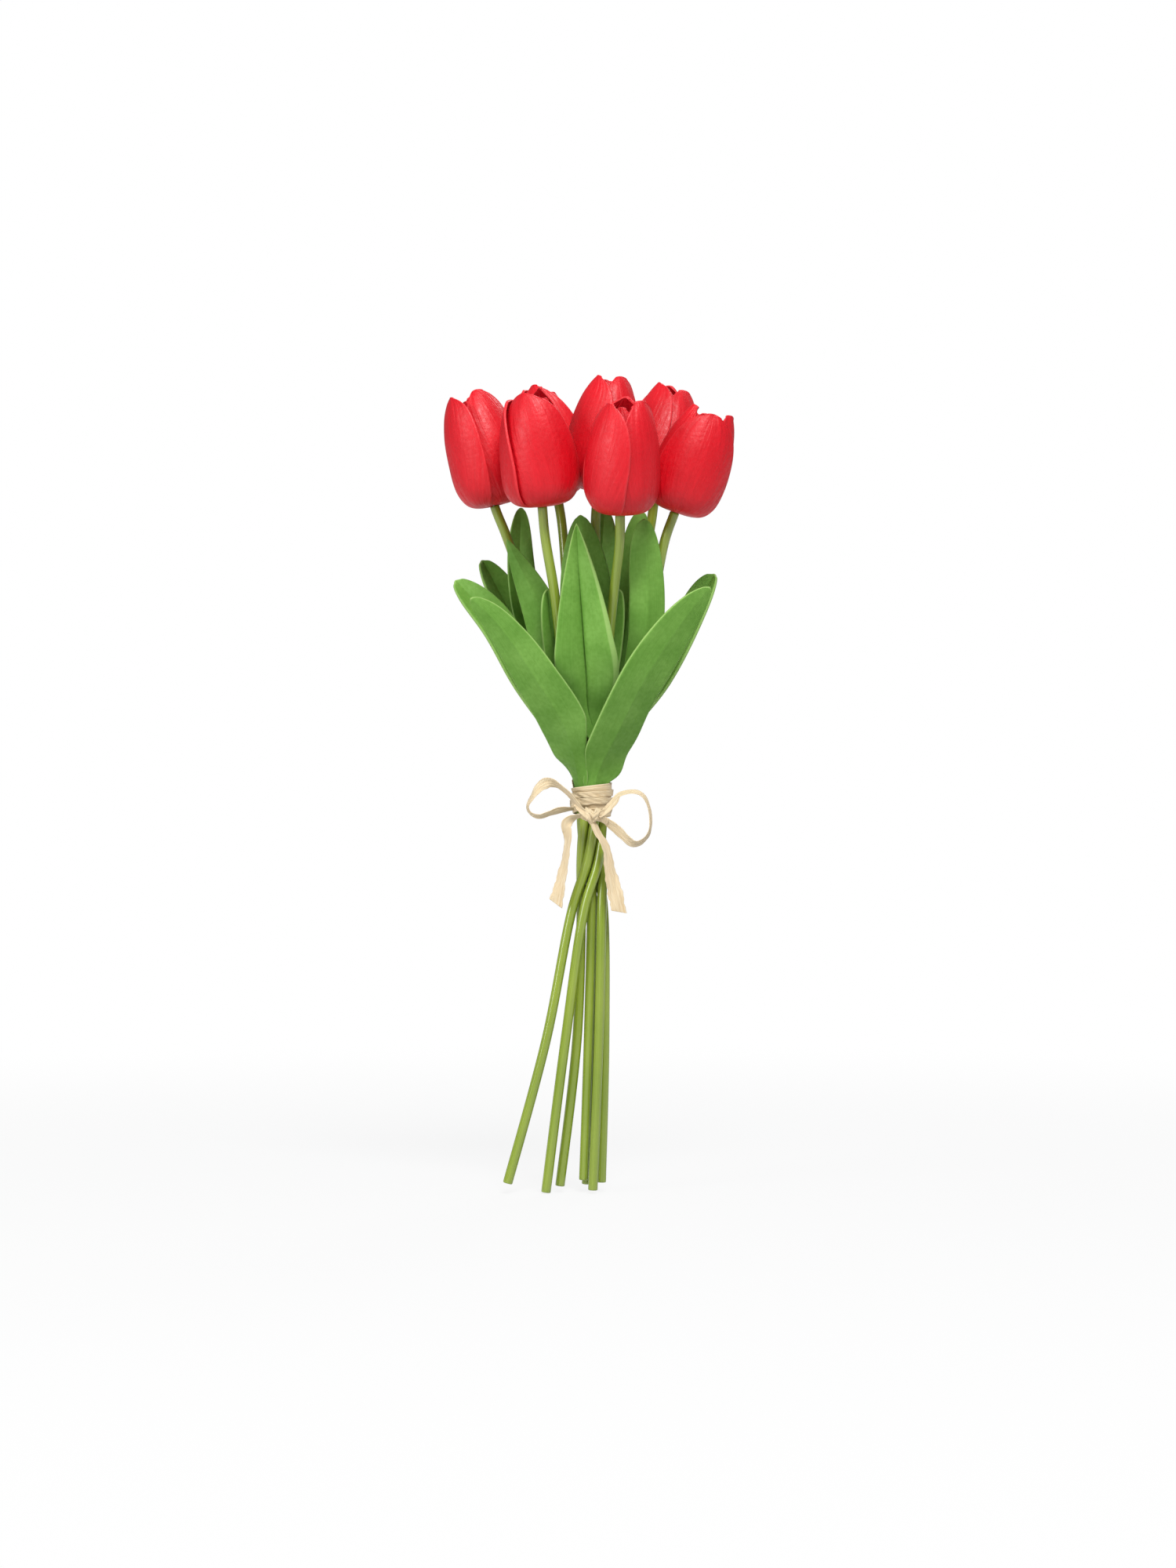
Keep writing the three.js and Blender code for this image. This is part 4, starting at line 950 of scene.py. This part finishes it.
def leaf_surface(name, leaf):
    fold = math.radians(leaf["fold"])
    points = [Vector(p) for p in leaf["points"]]
    hollow_out = leaf.get("hollow_out", False)
    if "angle" in leaf:
        angle = math.radians(leaf["angle"])
        foot_back = Vector((math.cos(angle), math.sin(angle), 0))
        foot = foot_back * TONGUE_RADIUS
        points = [foot + Vector((0, 0, -5)), foot + Vector((0, 0, 8.125)), *points]
    else:
        foot_back = Vector((*leaf["side"], 0)).normalized()
        clear = (2 + 0.3 + 0.75) / math.cos(fold)
        feet = [stem_at(int(name[5]), leaf["height"] + rise) + foot_back * clear for rise in leaf.get("feet", (0, 12))]
        points = [*feet, *points]
        if hollow_out:
            foot_back = -foot_back
    spine = FlowingLine(points)
    tip_back = Vector((*leaf["back"], 0)).normalized()
    tongue = (points[1] - points[0]).length / spine.length if "angle" in leaf else 0.0
    foot_half = leaf.get("foot", 1.8 if "angle" in leaf else 2.6)
    hug = (1 - math.cos(foot_half / TONGUE_RADIUS)) * TONGUE_RADIUS
    first_fold = math.asin(hug / foot_half) if "angle" in leaf else (0.0 if hollow_out else fold)

    def grown(v):
        return max(0.0, (v - tongue) / (1 - tongue))

    def place(u, v):
        u = math.copysign(abs(u) ** 1.4, u)
        v = 1 - (1 - v) ** 1.25
        v -= 1.3 / spine.length * u * u * ease((v - 0.85) * 7)
        rise = grown(v)
        t = spine.step_at(v)
        way = spine.way(t)
        back = foot_back.lerp(tip_back, ease(rise * leaf.get("turn", 2)))
        back = (back - way * back.dot(way)).normalized()
        across = way.cross(back)
        bend = mix(first_fold, fold, ease(rise * 2))
        middle = spine.at(t)
        foot_now = mix(foot_half, leaf.get("flat", foot_half), ease((v / tongue - 0.72) * 4) if tongue else 0)
        half = leaf_half_width(rise, foot_now, leaf)
        to_seam = -across.x * math.copysign(1, u) * math.cos(bend) * leaf.get("seam", 0)
        if rise > 0 and to_seam > 0:
            room = (SEAM_X - middle.x) * leaf["seam"] - 0.15
            half = min(half, max(room / to_seam, 1.8))
        elif "seam" in leaf:
            half += leaf["spread"] * ease(rise * 28) * ease((0.42 - rise) * 3.5)
        channel = leaf.get("channel", 0.06) * ease((1 - rise) * 5)
        wing = channel * (1 - math.exp(-abs(u) / (0.02 if u > 0 else 0.2))) + (1 - channel) * math.sqrt(u * u + 0.0006)
        if u > leaf.get("hem", 1):
            wing -= 1.1 * (u - leaf["hem"])
        return middle - across * (u * half * math.cos(bend)) - back * (wing * half * math.sin(bend))

    return place, grown, "angle" in leaf


for name, leaf in LEAVES.items():
    place, grown, has_tongue = leaf_surface(name, leaf)
    walls = {}

    shape = bmesh.new()
    rows = []

    def lay(u, v):
        rows.append(grown(1 - (1 - v) ** 1.25))
        return place(u, v)

    lay_grid(shape, 24, 44, lay)
    # A leaf with a hem gets the pale rim colour over the whole hem strip: a painted highlight, as the strip faces the
    # light.
    if "hem" in leaf:
        surface = shape.loops.layers.uv.active
        for loop in (loop for face in shape.faces for loop in face.loops):
            if loop[surface].uv.x > 0.91:
                loop[surface].uv.x = 0.999
    thin = 0.4 if has_tongue else 1.0
    pointed = 0.35 if leaf.get("taper", (0, 0))[1] > 0.65 else 0.8
    weights = {k: mix(thin, 1.0, ease(rise * 5)) * mix(1.0, pointed, ease((rise - 0.9) * 10)) for k, rise in enumerate(rows)}
    blade = finish_piece(name + "_blade", shape, leaf_green, thickness=1.4, levels=1, weights=weights)
    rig.ride(blade, "bunch")
    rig.replaces(blade, name + "_leaf")
    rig.slot(blade, "leaf")
print("leaves made")

# %% [markdown]
# ## Foam cores
# Under the petals is a bud of open foam that the wire's end sits in. It could be a sphere pulled long, but half of
# its outline spun round the axis gives the right bud at once, with the hole for the wire in the same turn.

# %% Foam finish
core_foam, n, shader = new_finish("core_foam", Specular_IOR_Level=0.2)
pores_with_painted_shade = n.add("TexVoronoi", {"Vector": n.add("TexCoord").outputs["Object"], "Scale": 1400.0})
patches = use_effect(n, soft_blotches, Size=0.004)
# The pits of the pores, where the bump is lowest, are painted darker: painted shade in the pits.
colour = blend_colours(n, pores_with_painted_shade.outputs["Distance"], linear(120, 18, 24), linear(190, 40, 46))
colour = blend_colours(n, weigh(n, patches, 0.3), colour, linear(160, 28, 34))
n.tree.links.new(colour, shader.inputs["Base Color"])
rough = n.add("MapRange", {"Value": patches, "To Min": 0.8, "To Max": 0.95})
n.tree.links.new(rough.outputs[0], shader.inputs["Roughness"])
bump = n.add("Bump", {"Height": pores_with_painted_shade.outputs["Distance"], "Strength": 0.5, "Distance": 0.0004})
n.tree.links.new(bump.outputs[0], shader.inputs["Normal"])

# %% Foam cores
WIRE_HOLE = 1.05
outline = [(0, 15.3), (WIRE_HOLE, 15.3), (WIRE_HOLE, 3.4), (2.6, 3.4)]
for k in range(2, 19):
    share = cup_point(k / 18)
    outline.append((share[0] * 7.35, 3.4 + share[1] * 32.1))
outline.append((0, 36.2))
for number, tulip in enumerate(TULIPS, 1):
    shape = bmesh.new()
    points = [shape.verts.new((r * MM, 0, z * MM)) for r, z in outline]
    edges = [shape.edges.new(pair) for pair in zip(points, points[1:])]
    bmesh.ops.spin(shape, geom=points + edges, cent=(0, 0, 0), axis=(0, 0, 1), angle=2 * math.pi, steps=28,
                   use_merge=True)
    bmesh.ops.remove_doubles(shape, verts=shape.verts, dist=1e-7)
    bmesh.ops.recalc_face_normals(shape, faces=shape.faces)
    bmesh.ops.transform(shape, matrix=tulip["stand"], verts=shape.verts)
    core = finish_piece(f"tulip{number}_foam_bud", shape, core_foam)
    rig.ride(core, f"tulip{number}_flower")
    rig.replaces(core, f"tulip{number}_foam_core")
    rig.slot(core, "foam")
    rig.padded(core, fill=1.0)
print("foam cores made")

# %% [markdown]
# ## Wires
# A steel wire runs up each stem and ends in the flower's core. It is what bends when the flower nods, so its weights
# go over from the bunch to the flower just above the stem, and it turns smoothly between them.

# %% Wires
wire_steel, n, shader = new_finish("wire_steel", Metallic=1.0)
patches = use_effect(n, soft_blotches, Size=0.003)
drawn = use_effect(n, running_lines, Across=12.0, Along=2.0, Sharpness=0.4)
colour = blend_colours(n, patches, linear(140, 140, 138), linear(178, 178, 176))
colour = blend_colours(n, weigh(n, drawn, 0.3), colour, linear(120, 120, 118))
n.tree.links.new(colour, shader.inputs["Base Color"])
rough = n.add("MapRange", {"Value": patches, "To Min": 0.32, "To Max": 0.5})
n.tree.links.new(rough.outputs[0], shader.inputs["Roughness"])

WIRE_RADIUS = 0.75
for number, tulip in enumerate(TULIPS, 1):
    line, steps = tulip["line"], tulip["steps"]

    def place(u, v):
        t = mix(1.01, steps, v) / steps
        way = line.way(t)
        side = way.cross(Vector((0, 1, 0))).normalized()
        angle = math.pi * u
        return line.at(t) + (side * math.cos(angle) + way.cross(side) * math.sin(angle)) * WIRE_RADIUS

    shape = bmesh.new()
    lay_grid(shape, 12, 150, place)
    bmesh.ops.remove_doubles(shape, verts=shape.verts, dist=1e-6)
    bmesh.ops.holes_fill(shape, edges=[e for e in shape.edges if e.is_boundary], sides=64)
    bmesh.ops.recalc_face_normals(shape, faces=shape.faces)
    wire = finish_piece(f"tulip{number}_bent_wire", shape, wire_steel)
    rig.blend(wire, "bunch", f"tulip{number}_flower", tulip["place"] * MM - tulip["axis"] * 0.5 * MM,
             tulip["place"] * MM + tulip["axis"] * 3.2 * MM)
    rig.replaces(wire, f"tulip{number}_wire")
    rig.slot(wire, "wire_steel")
print("wires made")

# %% [markdown]
# ## Last measures
# The dressed bunch has to stay within the CAD model's box, so both boxes are written down to compare.

# %% Sizes
dressed_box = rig.bounds()
sizes = {"cad": [list(map(float, corner)) for corner in cad_box],
         "visual": [list(map(float, corner)) for corner in dressed_box]}
with open("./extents.json", "w") as file:
    json.dump(sizes, file)
print(sizes)
